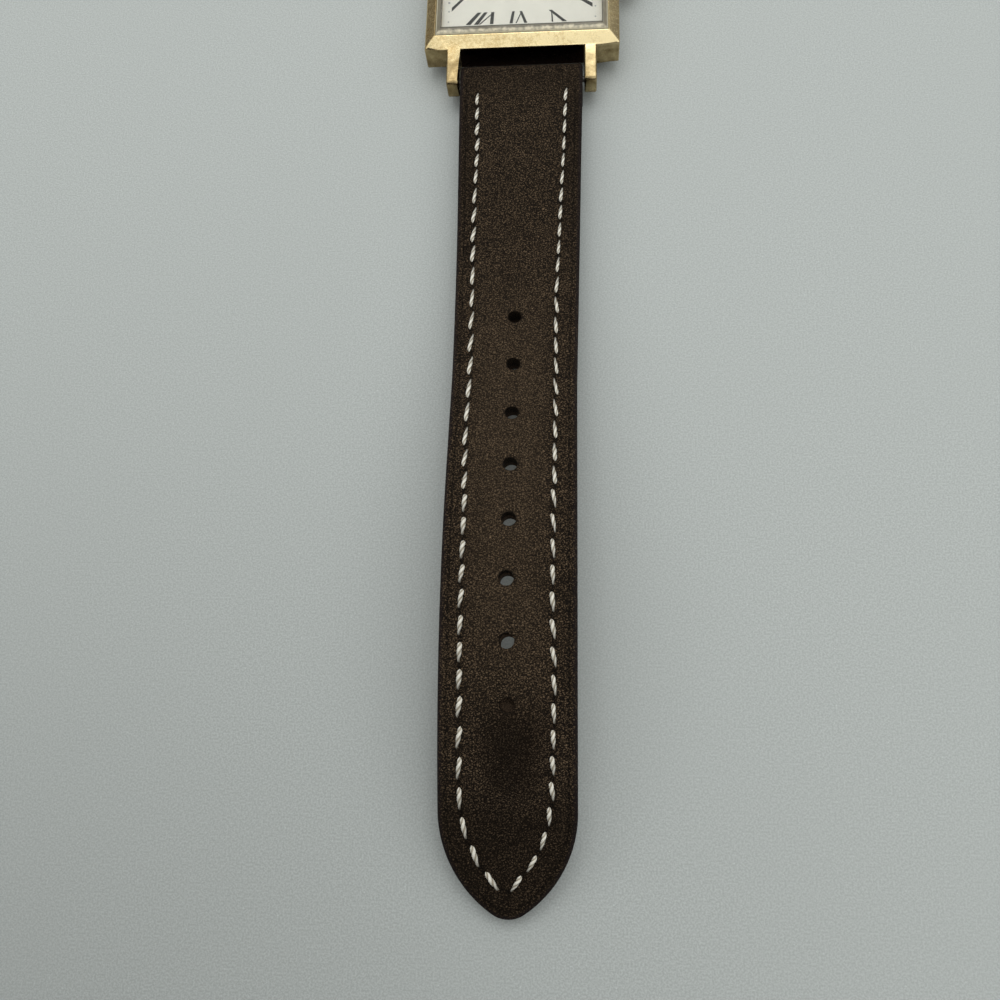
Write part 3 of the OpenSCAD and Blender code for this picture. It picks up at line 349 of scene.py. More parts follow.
class Finish:
    """A procedural finish, built a node at a time on one shader."""

    def __init__(self, name, space="Object"):
        self.material = bpy.data.materials.new(name)
        self.material.use_nodes = True
        self.tree = self.material.node_tree
        self.tree.nodes.clear()
        self.out = self.tree.nodes.new("ShaderNodeOutputMaterial")
        self.shader = self.tree.nodes.new("ShaderNodeBsdfPrincipled")
        self.tree.links.new(self.shader.outputs[0], self.out.inputs["Surface"])
        source = self.add("TexCoord").outputs[space]
        scale = 100 if space == "UV" else 1000
        self.place = self.add("VectorMath", {"operation": "SCALE"}, Vector=source, Scale=scale).outputs[0]

    def add(self, kind, settings=None, **inputs):
        node = self.tree.nodes.new("ShaderNode" + kind)
        for key, value in (settings or {}).items():
            setattr(node, key, value)
        for key, value in inputs.items():
            self.put(node, key.replace("_", " "), value)
        return node

    def put(self, node, key, value):
        socket = node.inputs[int(key)] if key.isdigit() else node.inputs[key]
        if isinstance(value, bpy.types.NodeSocket):
            self.tree.links.new(value, socket)
        elif hasattr(value, "__len__") and socket.type == "RGBA":
            socket.default_value = (*value[:3], 1)
        else:
            socket.default_value = value

    def surface(self, **values):
        for key, value in values.items():
            self.put(self.shader, key.replace("_", " "), value)

    def stretch(self, scale, turn=(0, 0, 0)):
        node = self.add("Mapping", None, Vector=self.place)
        node.inputs["Scale"].default_value = scale
        node.inputs["Rotation"].default_value = turn
        return node.outputs[0]

    def noise(self, scale, detail=3, rough=0.5, place=None):
        node = self.add("TexNoise", None, Vector=place or self.place, Scale=scale, Detail=detail,
                        Roughness=rough)
        return node.outputs["Fac"]

    def cells(self, scale, place=None, feature="F1"):
        node = self.add("TexVoronoi", {"feature": feature}, Vector=place or self.place, Scale=scale)
        return node.outputs["Distance"]

    def calc(self, operation, a, b=0.5, clamp=False):
        node = self.tree.nodes.new("ShaderNodeMath")
        node.operation = operation
        node.use_clamp = clamp
        self.put(node, "0", a)
        self.put(node, "1", b)
        return node.outputs[0]

    def plus(self, a, b, clamp=False):
        return self.calc("ADD", a, b, clamp)

    def times(self, a, b):
        return self.calc("MULTIPLY", a, b)

    def size(self, a):
        return self.calc("ABSOLUTE", a)

    def span(self, value, low, high, to_low=0.0, to_high=1.0, smooth=False):
        node = self.add("MapRange", {"interpolation_type": "SMOOTHSTEP" if smooth else "LINEAR"},
                        Value=value)
        for key, number in (("From Min", low), ("From Max", high), ("To Min", to_low), ("To Max", to_high)):
            node.inputs[key].default_value = number
        return node.outputs[0]

    def mix(self, share, a, b, blend="MIX"):
        node = self.tree.nodes.new("ShaderNodeMix")
        node.data_type = "RGBA"
        node.blend_type = blend
        self.put(node, "0", share)
        for index, value in ((6, a), (7, b)):
            if isinstance(value, bpy.types.NodeSocket):
                self.tree.links.new(value, node.inputs[index])
            else:
                node.inputs[index].default_value = (*value[:3], 1)
        return node.outputs[2]

    def mark(self, name):
        node = self.add("Attribute")
        node.attribute_name = name
        return node.outputs["Fac"]

    def axis(self, index):
        return self.add("SeparateXYZ", None, Vector=self.place).outputs[index]

    def bump(self, height, distance, strength=1.0, under=None):
        node = self.add("Bump", None, Height=height, Distance=distance * MM, Strength=strength)
        if under is not None:
            self.tree.links.new(under, node.inputs["Normal"])
        return node.outputs[0]


def leather_finish(name, dark, mid, light, paint, rough=0.6, grain=1.0, wear=1.0):
    """Fine pebbled leather with a painted edge and worn streaks; painted shade darkens its pressed marks,
    its worn patch and its shaded places, and a painted sheen lightens the grain where marked.
    """
    f = Finish(name, "UV")
    wave = f.noise(0.9, 2)
    warp = f.add("VectorMath", {"operation": "MULTIPLY_ADD"})
    f.tree.links.new(f.add("TexNoise", None, Vector=f.place, Scale=2.2, Detail=2).outputs["Color"],
                     warp.inputs[0])
    warp.inputs[1].default_value = (0.45, 0.5, 0.0)
    f.tree.links.new(f.place, warp.inputs[2])
    grain_place = f.add("Mapping", None, Vector=warp.outputs[0])
    grain_place.inputs["Scale"].default_value = (3.6 / grain, 5.2 / grain, 1)
    pebble = f.span(f.cells(1.0, grain_place.outputs[0], "DISTANCE_TO_EDGE"), 0.03, 0.26, 0.0, 1.0, True)
    fine = f.span(f.noise(5.0 / grain, 2, 0.55), 0.32, 0.68, 0.0, 1.0)
    height = f.plus(f.times(pebble, 0.42), f.times(fine, 0.58))
    broad = f.noise(0.16, 2)
    drift = f.plus(f.span(wave, 0.3, 0.7, -0.08, 0.08), f.span(broad, 0.3, 0.7, -0.09, 0.09))
    tone = f.plus(f.span(height, 0.34, 0.82, -0.12, 1.1), drift, True)
    colour = f.mix(f.span(tone, 0.0, 0.5), dark, mid)
    colour = f.mix(f.span(tone, 0.5, 1.0), colour, light)
    streak = f.noise(1.0, 3, 0.6, f.stretch((0.9, 0.05, 1)))
    streak = f.times(f.span(streak, 0.5, 0.78, 0, 0.3 * wear, True), f.span(height, 0.2, 0.9))
    colour = f.mix(streak, colour, [1.3 * v for v in light])
    speck = f.span(f.cells(0.4), 0.0, 0.05, 1.0, 0.0)
    colour = f.mix(f.times(speck, 0.7 * wear), colour, [4.5 * v for v in light])
    # Painted sheen: the grain lightens where marked
    colour = f.mix(f.times(f.times(f.mark("painted_sheen"), height), 0.8), colour, light)
    # Darker where worn and where painted shade is marked
    colour = f.mix(f.times(f.mark("wear_and_shade"), 0.72), colour, [1.3 * v for v in dark])
    # Painted shade in the pits, creases and hole rims
    colour = f.mix(f.times(f.mark("dent_shade"), 0.85), colour, [0.3 * v for v in dark])
    flaked = f.times(f.span(height, 0.2, 0.8, 0.1, -0.35), f.mark("paint"))
    edge = f.plus(f.mark("paint"), flaked, True)
    colour = f.mix(edge, colour, f.mix(f.noise(1.3, 3), paint, [1.8 * v for v in paint]))
    bare = f.calc("SUBTRACT", 1.0, edge)
    f.surface(Base_Color=colour, Specular_IOR_Level=0.13,
              Roughness=f.plus(f.span(height, 0.2, 0.9, rough + 0.16, rough - 0.06),
                               f.times(f.mark("wear_and_shade"), 0.3), True))
    first = f.bump(f.times(height, f.plus(bare, 0.2)), 0.13 * grain, 1.0)
    f.surface(Normal=f.bump(f.noise(1.7, 2), 0.05, 0.25, first))
    return f.material


def thread_finish(name, pale, shade):
    """Waxed two-ply thread, with painted shade in the groove between its plies and at one end."""
    f = Finish(name, "UV")
    fibre = f.noise(1.0, 3, 0.65, f.stretch((26, 4.5, 1), (0, 0, 0.5)))
    ply = f.size(f.calc("COSINE", f.times(f.axis(1), 2 * math.pi)))
    # Painted shade in the groove between the plies
    tone = f.plus(f.span(ply, 0.2, 0.8, -0.1, 0.85, True), f.span(fibre, 0.3, 0.7, -0.2, 0.25), True)
    colour = f.mix(tone, shade, pale)
    # Painted shade toward the stitch's marked end
    colour = f.mix(f.mark("deep"), colour, [0.12 * v for v in shade])
    f.surface(Base_Color=colour, Roughness=0.42, Specular_IOR_Level=0.5, Sheen_Weight=0.15,
              Normal=f.bump(f.plus(ply, f.times(fibre, 0.3)), 0.06, 0.8))
    return f.material


def gold_finish(name, gold, worn):
    """Gold plating with fine scratches, pits and dulled patches, and painted shade toward the left, on the
    walls below the bevel and in the recess between the lugs.
    """
    f = Finish(name)
    cloud = f.noise(0.55, 4, 0.6)
    fine = f.noise(9.0, 3, 0.65)
    scratch = f.noise(1.0, 2, 0.4, f.stretch((1.1, 22, 1.1), (0.2, 0.1, 0.62)))
    other = f.noise(1.0, 2, 0.4, f.stretch((20, 1.0, 1.2), (0.1, 0.3, 0.35)))
    lines = f.calc("MAXIMUM", f.span(scratch, 0.62, 0.72, 0, 1), f.span(other, 0.64, 0.74, 0, 1))
    pit = f.span(f.cells(2.3), 0.03, 0.13, 1.0, 0.0, True)
    pit = f.times(pit, f.span(f.noise(0.7, 2), 0.45, 0.6))
    # Worn patches, and painted shade that darkens the plating toward the left
    wear_and_left_shade = f.plus(f.span(cloud, 0.35, 0.68, -0.1, 0.5), f.span(f.axis(0), -14, 9, 0.45, -0.25))
    wear_and_left_shade = f.plus(wear_and_left_shade, f.span(f.noise(2.6, 4, 0.7), 0.38, 0.62, -0.3, 0.3), True)
    colour = f.mix(wear_and_left_shade, gold, worn)
    colour = f.mix(f.times(pit, 0.6), colour, [0.45 * v for v in worn])
    across, along = (f.size(f.axis(index)) for index in (0, 1))
    reach = f.calc("MAXIMUM", across, along)
    # Painted shade on the case's walls below the bevel, mottled
    wall = f.times(f.span(f.axis(2), 5.55, 5.8, 1, 0), f.span(reach, 13.9, 13.97))
    wall = f.times(wall, f.span(f.noise(0.8, 3), 0.3, 0.7, 0.55, 1.0))
    colour = f.mix(wall, colour, [0.4 * v for v in worn])
    # Painted shade in the recess between the lugs, below the bevel
    inside = f.times(f.span(across, 8.9, 9.0, 1, 0), f.span(f.axis(2), 5.45, 5.7, 1, 0))
    inside = f.times(inside, f.times(f.span(along, 13.7, 13.9), f.span(along, 14.3, 14.5, 1, 0)))
    colour = f.mix(inside, colour, RECESS_SHADE)
    f.surface(Base_Color=colour, Metallic=1.0, Specular_IOR_Level=0.5,
              Roughness=f.plus(f.span(cloud, 0.3, 0.75, 0.16, 0.32),
                               f.times(lines, 0.1)))
    height = f.calc("SUBTRACT", f.times(fine, 0.25), f.plus(f.times(lines, 0.5), pit))
    f.surface(Normal=f.bump(height, 0.012, 0.6))
    return f.material


def metal_finish(name, base, other, rough, grain, scale, depth):
    """Machined, brushed or blasted metal; the grain's stretch gives the tool's direction."""
    f = Finish(name)
    brushed = f.noise(scale, 4, 0.6, f.stretch(grain))
    cloud = f.noise(0.4, 3)
    tone = f.span(f.plus(f.times(brushed, 0.6), f.times(cloud, 0.4)), 0.35, 0.65)
    f.surface(Base_Color=f.mix(tone, base, other), Metallic=1.0,
              Roughness=f.span(brushed, 0.3, 0.7, rough - 0.06, rough + 0.1),
              Normal=f.bump(brushed, depth, 0.6))
    return f.material


def plain_finish(name, base, other, rough, scale, **values):
    """Moulded, printed or cast stuff with a mottled colour and a fine skin."""
    f = Finish(name)
    mottle = f.noise(scale, 4, 0.6)
    f.surface(Base_Color=f.mix(f.span(mottle, 0.3, 0.7), base, other),
              Roughness=f.span(mottle, 0.3, 0.7, rough - 0.05, rough + 0.07),
              Normal=f.bump(f.noise(scale * 4, 3), 0.01, 0.5), **values)
    return f.material


def dial_finish(name, silver, shade):
    """Frosted silvered dial, brushed in faint rays from its centre."""
    f = Finish(name)
    turn = f.calc("ARCTAN2", f.axis(1), f.axis(0))
    place = f.add("CombineXYZ", None, X=f.times(turn, 30.0), Y=0.0, Z=0.0).outputs[0]
    rays = f.noise(6.0, 3, 0.6, place)
    sweep = f.noise(0.09, 1, 0.4, place)
    grit = f.noise(12.0, 2)
    frost = f.noise(1.3, 4, 0.7)
    tone = f.plus(f.span(rays, 0.3, 0.7, 0.0, 0.3), f.span(sweep, 0.35, 0.65, 0.0, 0.3))
    tone = f.plus(tone, f.span(frost, 0.35, 0.65, 0.0, 0.4), True)
    f.surface(Base_Color=f.mix(tone, silver, shade), Specular_IOR_Level=0.3,
              Roughness=f.span(grit, 0.3, 0.7, 0.4, 0.5), Normal=f.bump(rays, 0.004, 0.5))
    return f.material


def glass_finish(name, tint, ground):
    """Mineral glass that lets the light through to the dial, with a dulled, ground facet round it drawn
    nearly opaque in painted light and shade.
    """
    f = Finish(name)
    smear = f.noise(0.25, 3)
    f.surface(Base_Color=tint, Transmission_Weight=1.0, IOR=1.5, Specular_IOR_Level=0.15,
              Roughness=f.span(smear, 0.45, 0.8, 0.0, 0.03))
    clear = f.add("BsdfTransparent", None, Color=(0.95, 0.96, 0.955))
    path = f.add("LightPath")
    mixed = f.add("MixShader", None, Fac=path.outputs["Is Shadow Ray"])
    f.tree.links.new(f.shader.outputs[0], mixed.inputs[1])
    f.tree.links.new(clear.outputs[0], mixed.inputs[2])
    across, along = (f.size(f.axis(index)) for index in (0, 1))
    reach = f.calc("MAXIMUM", across, along)
    # Painted shade: a dark line along the facet's inner edge
    line = f.span(f.size(f.calc("SUBTRACT", reach, FACET_IN + 0.06)), 0.03, 0.09, 1, 0)
    ends = f.span(f.calc("SUBTRACT", along, across), -0.1, 0.1)
    # Painted light: the facet lightens toward its outer edge
    outer = f.plus(f.span(reach, FACET_IN + 0.2, FACET_IN + 0.42, -0.1, 0.9),
                   f.span(f.noise(1.4, 3), 0.38, 0.62, -0.5, 0.2), True)
    edge = f.add("BsdfPrincipled", None, Roughness=0.35, Specular_IOR_Level=0.3)
    # Painted light: the facet is lighter on the ends than on the sides
    painted_end_light = f.mix(ends, [1.15 * v for v in ground], [3.6 * v for v in ground])
    stripe = f.noise(1.0, 2, 0.5, f.stretch((0.2, 0.2, 0.2)))
    colour = f.mix(outer, f.mix(f.span(stripe, 0.3, 0.7), ground, [0.8 * v for v in ground]), painted_end_light)
    f.put(edge, "Base Color", f.mix(line, colour, [0.35 * v for v in ground]))
    # The facet is drawn mostly opaque in these painted colours
    cover = f.times(f.span(reach, FACET_IN - 0.02, FACET_IN + 0.02), 0.88)
    whole = f.add("MixShader", None, Fac=cover)
    f.tree.links.new(mixed.outputs[0], whole.inputs[1])
    f.tree.links.new(edge.outputs[0], whole.inputs[2])
    f.tree.links.new(whole.outputs[0], f.out.inputs["Surface"])
    return f.material


# The strap's line and outline


def line_at(bends, s):
    """(y, z, slope) on the top line of a strap piece, s millimetres from the bar."""
    y, z, slope = LINE_START
    for index, (length, turn) in enumerate(bends):
        part = s if index == len(bends) - 1 else min(s, length)
        bent = turn * part / length
        if abs(bent) < 1e-4:
            y += part * math.cos(math.radians(slope))
            z += part * math.sin(math.radians(slope))
        else:
            radius = part / math.radians(bent)
            y += radius * (math.sin(math.radians(slope + bent)) - math.sin(math.radians(slope)))
            z -= radius * (math.cos(math.radians(slope + bent)) - math.cos(math.radians(slope)))
            slope += bent
        s -= part
        if s <= 0:
            break
    return y, z, slope


class StrapPiece:
    """One strap piece: its line, widths and thicknesses, in millimetres."""

    def __init__(self, bends, length, sign, end_w, taper, pad, pointed, looks):
        self.bends, self.length, self.sign = bends, length, sign
        self.end_w, self.taper, self.pad, self.pointed = end_w, taper, pad, pointed
        self.inset = looks.stitch_inset * 1000
        self.holes = [FIRST_HOLE + i * HOLE_PITCH for i in range(HOLE_COUNT)] if pointed else []
        steps = np.arange(0, length + 0.2, 0.2)
        self.line_s = steps
        self.line = np.array([line_at(bends, s) for s in steps])

    def at(self, s):
        return [np.interp(s, self.line_s, self.line[:, i]) for i in range(3)]

    def point(self, x, s, h):
        """Where a point stands: x across, s along, h above the top line."""
        y, z, slope = self.at(s)
        slope = np.radians(slope)
        return np.stack([x, self.sign * (y - h * np.sin(slope)), z + h * np.cos(slope)], -1)

    def half(self, s):
        return (self.end_w + (LUG_W - self.end_w) * np.maximum(0, 1 - s / self.taper)) / 2

    def thickness(self, s):
        t = STRAP_T + (2 * LUG_LOOP - STRAP_T) * np.maximum(0, 1 - s / self.pad)
        if not self.pointed:
            folded = STRAP_T + (2 * BUCKLE_LOOP - STRAP_T) * (s - FOLD_S) / (SHORT_LEN - FOLD_S)
            t = np.where(s > FOLD_S, folded, t)
        return t

    def row_inset(self, s, side):
        """How far the stitches run inside the edge; a hand-guided seam wanders a little."""
        if not self.pointed:
            return np.full_like(np.asarray(s, float), self.inset)
        return self.inset + np.interp(s, SEAM_STOPS, SEAM_LEFT if side < 0 else SEAM_RIGHT)

    def outline(self):
        """Rows of the plan: edge point, inward direction and how deep a row goes."""
        stops = np.arange(0, SHOULDER, 0.26) if self.pointed else np.linspace(0, self.length, 240)
        rows = [(float(self.half(s)), s, 1.0, 0.0) for s in stops]
        if self.pointed:
            tip = np.linspace(TIP_TURN, math.pi / 2, 10)[1:]
            for turn in np.concatenate([np.linspace(0, TIP_TURN, 52), tip]):
                c, v = math.cos(turn), math.sin(turn)
                if turn <= TIP_TURN + 1e-9:
                    rows.append((OGIVE_R * c - OGIVE_X, SHOULDER + OGIVE_R * v, c, v))
                else:
                    rows.append((TIP_R * c, TIP_S + TIP_R * v, c, v))
        return rows

    def seam(self, side):
        """The stitch row's path: plan places and the length run to each."""
        path = []
        for x, s, c, v in self.outline():
            e = float(self.row_inset(s - 2.9 * v, side))
            px = x - e * c
            if px < 0:
                break
            path.append((side * px, s - e * v))
        path = np.array(path)
        run = np.concatenate([[0], np.cumsum(np.hypot(*np.diff(path, axis=0).T))])
        return path, run


def stitch_places(strap, side, knots):
    """Each stitch of a row: plan place, direction and pitch."""
    centres = []
    for (start, count), (end, _) in zip(knots, knots[1:]):
        centres += list(np.linspace(start, end, count, endpoint=False))
    centres.append(knots[-1][0])
    centres = np.array(centres)
    pitch = np.gradient(centres)
    path, run = strap.seam(side)
    places = []
    for centre, gap in zip(centres, pitch):
        a = np.array([np.interp(centre - 0.3 * gap, run, path[:, i]) for i in (0, 1)])
        b = np.array([np.interp(centre + 0.3 * gap, run, path[:, i]) for i in (0, 1)])
        way = (b - a) / max(1e-6, np.hypot(*(b - a)))
        places.append(((a + b) / 2, way, float(gap)))
    return places


# Where runs of evenly set stitches begin along a row, and how many stitches each run has
LONG_KNOTS = {
    -1: ((4.7, 5), (17.5, 4), (29.6, 8), (57.4, 3), (66.5, 4), (78.1, 4), (90.3, 6), (110.8, 0)),
    1: ((4.35, 10), (31.6, 19), (90.9, 7), (111.1, 0)),
}
SHORT_KNOTS = ((5.4, 18), (57.6, 0))


def knots_of(strap, side):
    return LONG_KNOTS[side] if strap.pointed else SHORT_KNOTS


# Strap shells


# The layers' rounded edges, and their columns: how far each stands in from the edge, then evenly spread ones
CORNER = 0.42
LINING_CORNER = 0.3
QUARTER = np.radians((0, 22.5, 45, 67.5, 90))
COLUMNS = ([CORNER * (1 - math.cos(a)) for a in QUARTER]
           + [0.55, 0.68, 0.78, 0.86, 0.94, 1.02, 1.12, 1.25, 1.42]
           + list(np.arange(1.6, 3.25, 0.12)))
LINING_COLUMNS = ([LINING_CORNER * (1 - math.cos(a)) for a in QUARTER]
                  + [0.6, 1.1, 1.6, 1.9, 2.1, 2.3, 2.5, 2.7, 3.0, 3.3])
INNER = 18
LINING_INNER = 8
# Where the underside's columns stand, as shares of the width
BACK_STATIONS = (0, 0.3, 0.5, 0.7, 1)


def bell(x, width, power=2):
    """A smooth hump of height 1 round x = 0."""
    return np.exp(-((x / width) ** power))


def unit(x):
    return np.clip(x, 0, 1)


def surface_height(strap, e, x, s, dents, top=True):
    """Height of the leather's face over its line, and its dents with painted shade in pits, creases and hole
    rims: e in from the edge.
    """
    corner = CORNER if top else LINING_CORNER
    fall = np.sqrt(np.maximum(0, corner**2 - (corner - np.minimum(e, corner)) ** 2))
    h = np.where(e < corner, -corner + fall, 0.0)
    ease = unit((s - 0.5) / 3.5)
    ease = ease * ease * (3 - 2 * ease)
    crease = bell(e - 0.98, 0.12)
    right = unit(0.5 + x / 0.6)
    inset = strap.row_inset(s, -1) * (1 - right) + strap.row_inset(s, 1) * right
    channel = bell(e - inset, 0.3)
    dent_shade = 0.0 * e
    # Stitch pits: dented, and marked for painted shade
    for place in dents:
        near = (np.abs(s - place[1]) < 1.2) & (np.abs(x - place[0]) < 1.2)
        dent_shade = np.maximum(dent_shade, np.where(near, bell(np.hypot(x - place[0], s - place[1]), 0.26), 0))
    if top:
        rise = 0.45 * unit(np.minimum(s / WRAP, (strap.pad - s) / 12))
        rise = np.maximum(rise, 0.2 * unit(s / WRAP))
        swell = unit((e - inset - 0.1) / 2.4)
        swell = np.sin(swell * math.pi / 2) ** 1.25
        h = h + rise * swell + 0.03 * bell(e - 0.62, 0.2) * ease
        h = h - ease * (0.1 * crease + 0.13 * channel)
    else:
        h = h - 0.06 * channel * ease
    h = h - 0.16 * dent_shade
    for hole in strap.holes:
        r = np.hypot(x, s - hole)
        h = h - np.where(r < 2.2, 0.17 * bell(np.maximum(0, r - 0.78), 0.3), 0)
        if top:
            # Painted shade round the holes' rims and along the edge crease
            dent_shade = np.maximum(dent_shade, 0.55 * bell(np.maximum(0, r - 0.8), 0.16))
    dent_shade = np.maximum(dent_shade, 0.6 * crease * ease)
    return h, dent_shade


def strap_rows(strap, columns, inner):
    """Plan places of both halves for every row: x, s and inset arrays, left edge to right edge."""
    spread = np.linspace(0, 1, inner + 1)[1:]
    rows = []
    for x, s, c, v in strap.outline():
        centre = float(strap.half(min(s, SHOULDER))) if v > 0 else x
        e = np.concatenate([columns, columns[-1] + spread * (centre - columns[-1])])
        e = np.minimum(e, TIP_R if c < 1e-6 else x / c)
        half_x = np.maximum(0, x - e * c)
        along = s - e * v
        rows.append((np.concatenate([-half_x, half_x[-2::-1]]), np.concatenate([along, along[-2::-1]]),
                     np.concatenate([e, e[-2::-1]])))
    return rows


def leather_wear(strap, x, s, e):
    """How worn and how shaded the top leather is at each place, and where a painted sheen lightens it."""
    # Painted shade along the edges near the bar
    hem_shade = unit((2.75 - e) / 0.5) * unit((36 - s) / 18) * 0.6
    # Painted shade on the leather by the fold round the bar
    wear_and_shade = np.maximum(hem_shade, 0.5 * unit(1 - (s - 1.0) / 7.0))
    if not strap.pointed:
        return wear_and_shade, 0 * x
    # Wear where the keeper rubs, and painted shade over the tip
    patch = bell(x - 0.6, 3.6, 4) * bell(s - 95.5, 5.2, 4)
    wear_and_shade = np.maximum(wear_and_shade, np.maximum(patch, 0.75 * unit((s - 97) / 6)))
    # Painted sheen over the middle of the strap
    return wear_and_shade, 0.5 * bell(s - 62, 26, 4) * bell(x + 0.5, 4.8, 4)


def make_shell(name, strap, dents, top=True):
    """The top leather, which loops round the bars, or the lining under it, as one closed shell."""
    plan = strap_rows(strap, np.array(COLUMNS if top else LINING_COLUMNS), INNER if top else LINING_INNER)
    count = len(plan[0][0])
    middle = count // 2
    corner = CORNER if top else LINING_CORNER
    rows, uvs = [], []
    # Marks for the finish: edge paint, dents with painted shade, wear with painted shade, painted sheen
    marks = {"paint": [], "dent_shade": [], "wear_and_shade": [], "painted_sheen": []}

    def ring(place, x, e, height, dent_shade, wall, v, s):
        """One ring round the leather: its face, its right edge, its back and its left edge."""
        face = place(x, height)
        back_x = np.interp(BACK_STATIONS, np.linspace(0, 1, count), x)
        depths = np.linspace(-corner, -wall, 4)[1:]
        right = place(np.full(3, x[-1]), depths)
        left = place(np.full(3, x[0]), depths[::-1])
        back = place(back_x[::-1], np.full(5, -wall))
        across = np.concatenate([x, x[-1] - depths, (back_x[::-1] + 40)[1:-1], x[0] + depths[::-1], x[:1]])
        long_way = np.concatenate([v, np.full(3, v[-1]), np.full(3, v[middle]), np.full(3, v[0]), v[:1]])
        paint = unit((0.62 - e) / 0.4) if top else unit(1.25 - e / 0.42)
        wear_and_shade, painted_sheen = leather_wear(strap, x, s, e) if top else (0 * x, 0 * x)
        rows.append(np.concatenate([face, right, back[1:-1], left, face[:1]]))
        uvs.append(np.stack([across, long_way], -1))
        marks["paint"].append(np.concatenate([paint, [1, 1, 1, 0, 0, 0, 1, 1, 1, 1]]))
        marks["dent_shade"].append(np.concatenate([dent_shade, np.zeros(9), dent_shade[:1]]))
        marks["wear_and_shade"].append(np.concatenate([wear_and_shade, np.zeros(10)]))
        marks["painted_sheen"].append(np.concatenate([painted_sheen, np.zeros(10)]))

    def under_fold(stops, row, height, wall, run, s_mark):
        """The leather folded back under the strap, from stop to stop."""
        for s in stops:
            depth = float(strap.thickness(np.array(s)))
            ring(lambda x, h, s=s, depth=depth: strap.point(x, np.full(len(x), s), -depth - h),
                 row[0], row[2], height, flat, wall, run(s), s_mark)

    flat = np.zeros(count)
    if top:
        first = plan[0]
        edge, _ = surface_height(strap, first[2], first[0], flat, [])
        under_fold(np.linspace(WRAP, 0, 9)[:-1], first, edge, EYE_WALL, lambda s: flat - s - LUG_RUN, flat)
        for turn in np.linspace(math.pi, 0, 15)[:-1]:
            ring(lambda x, h, turn=turn: bar_point(strap, turn, x, h), first[0], first[2], edge, flat,
                 EYE_WALL, flat - LUG_LOOP * turn, flat)
    for (x, s, e), (_, edge_s, _, v) in zip(plan, strap.outline()):
        folded = not strap.pointed and edge_s > FOLD_S - 0.05
        if not top and (edge_s < WRAP + 0.05 or folded):
            continue
        near = [place for place in dents if abs(place[1] - np.mean(s)) < (3 if v == 0 else 16)]
        height, dent_shade = surface_height(strap, e, x, s, near, top)
        wall = LAYER - 0.01
        if top:
            wall = eye_wall(strap, edge_s, float(strap.thickness(np.array(edge_s))))
        ring(lambda x, h, s=s: station_point(strap, x, s, h, not top), x, e, height, dent_shade, wall, s, s)
    if top and not strap.pointed:
        last = plan[-1]
        edge, _ = surface_height(strap, last[2], last[0], flat, [])
        for turn in np.linspace(0, math.pi, 13)[1:]:
            ring(lambda x, h, turn=turn: buckle_point(strap, turn, x, h), last[0], last[2], edge, flat,
                 BUCKLE_WALL, flat + SHORT_LEN + BUCKLE_LOOP * turn, last[1])
        under_fold(np.linspace(SHORT_LEN, FOLD_S + 0.02, 10)[1:], last, edge, BUCKLE_WALL,
                   lambda s: flat + 2 * SHORT_LEN - s + BUCKLE_RUN, last[1])
    piece = grid_piece(name, np.array(rows), np.array(uvs), {key: np.array(v) for key, v in marks.items()})
    weld(piece)
    cap_ends(piece)
    return piece


def station_point(strap, x, s, h, under=False):
    """A point of a ring at its own station; a shorter list of x takes the stations by place."""
    if len(x) != len(s):
        grid = np.linspace(0, 1, len(s))
        if len(x) == 3:
            s = np.full(3, s[0])
        else:
            s = np.interp(BACK_STATIONS, grid, s)
    if under:
        return strap.point(x, s, -strap.thickness(s) - h)
    return strap.point(x, s, h)


def bar_point(strap, turn, x, h):
    """A point on the loop round the bar at the lugs, where the leather swells a little."""
    slope = math.radians(LINE_START[2])
    normal = np.array((-math.sin(slope), math.cos(slope)))
    along = np.array((math.cos(slope), math.sin(slope)))
    way = normal * math.cos(turn) - along * math.sin(turn)
    swell = 0.56 * max(0.0, math.sin(turn)) ** 0.75
    reach = LUG_LOOP + h + swell * unit(1 + h / EYE_WALL)
    return np.stack([x, strap.sign * (BAR_Y + reach * way[0]), BAR_Z + reach * way[1]], -1)


def buckle_point(strap, turn, x, h):
    """A point on the loop round the buckle's bar."""
    reach = BUCKLE_LOOP + h
    y, z = BUCKLE_Y + reach * math.sin(turn), BUCKLE_Z + reach * math.cos(turn)
    return np.stack([x, strap.sign * y, z], -1)


def eye_wall(strap, s, thick):
    """How thick the top leather is: thin round the bars' eyes, and down to the lining between."""
    full = thick - LAYER
    wall = EYE_WALL + (full - EYE_WALL) * min(1.0, max(0.0, (s - 0.3) / (WRAP - 0.5)))
    if not strap.pointed and s > FOLD_S:
        share = min(1.0, max(0.0, (SHORT_LEN - 0.3 - s) / (SHORT_LEN - FOLD_S - 0.6)))
        wall = BUCKLE_WALL + (full - 0.01 - BUCKLE_WALL) * share
    return wall


def cut(piece, cutter):
    apply(piece, "BOOLEAN", operation="DIFFERENCE", object=cutter, solver="EXACT")


def punch_holes(strap, piece, creep=()):
    """Punch the pin holes through one of the strap's layers with round cutters set square to it.

    The lining has crept a little against the top leather, most by the last hole.
    """
    cutters = []
    for index, s in enumerate(strap.holes):
        aside, on = creep[index] if creep else (0.0, 0.0)
        aside += HOLE_ASIDE[index]
        y, z, slope = strap.at(s + on)
        rest_selection()
        bpy.ops.mesh.primitive_cylinder_add(vertices=HOLE_SIDES, radius=HOLE_R * MM, depth=8 * MM,
                                            location=(aside * MM, -y * MM, z * MM),
                                            rotation=(-math.radians(slope), 0, 0))
        bpy.ops.object.transform_apply(location=True, rotation=True, scale=True)
        cutters.append(bpy.context.object)
    cutter = join(cutters, "hole_cutters")
    cut(piece, cutter)
    drop(cutter)


def open_pin_holes(strap, top, lining):
    """Punch both layers of the long strap piece."""
    punch_holes(strap, top)
    punch_holes(strap, lining, LINING_CREEP)


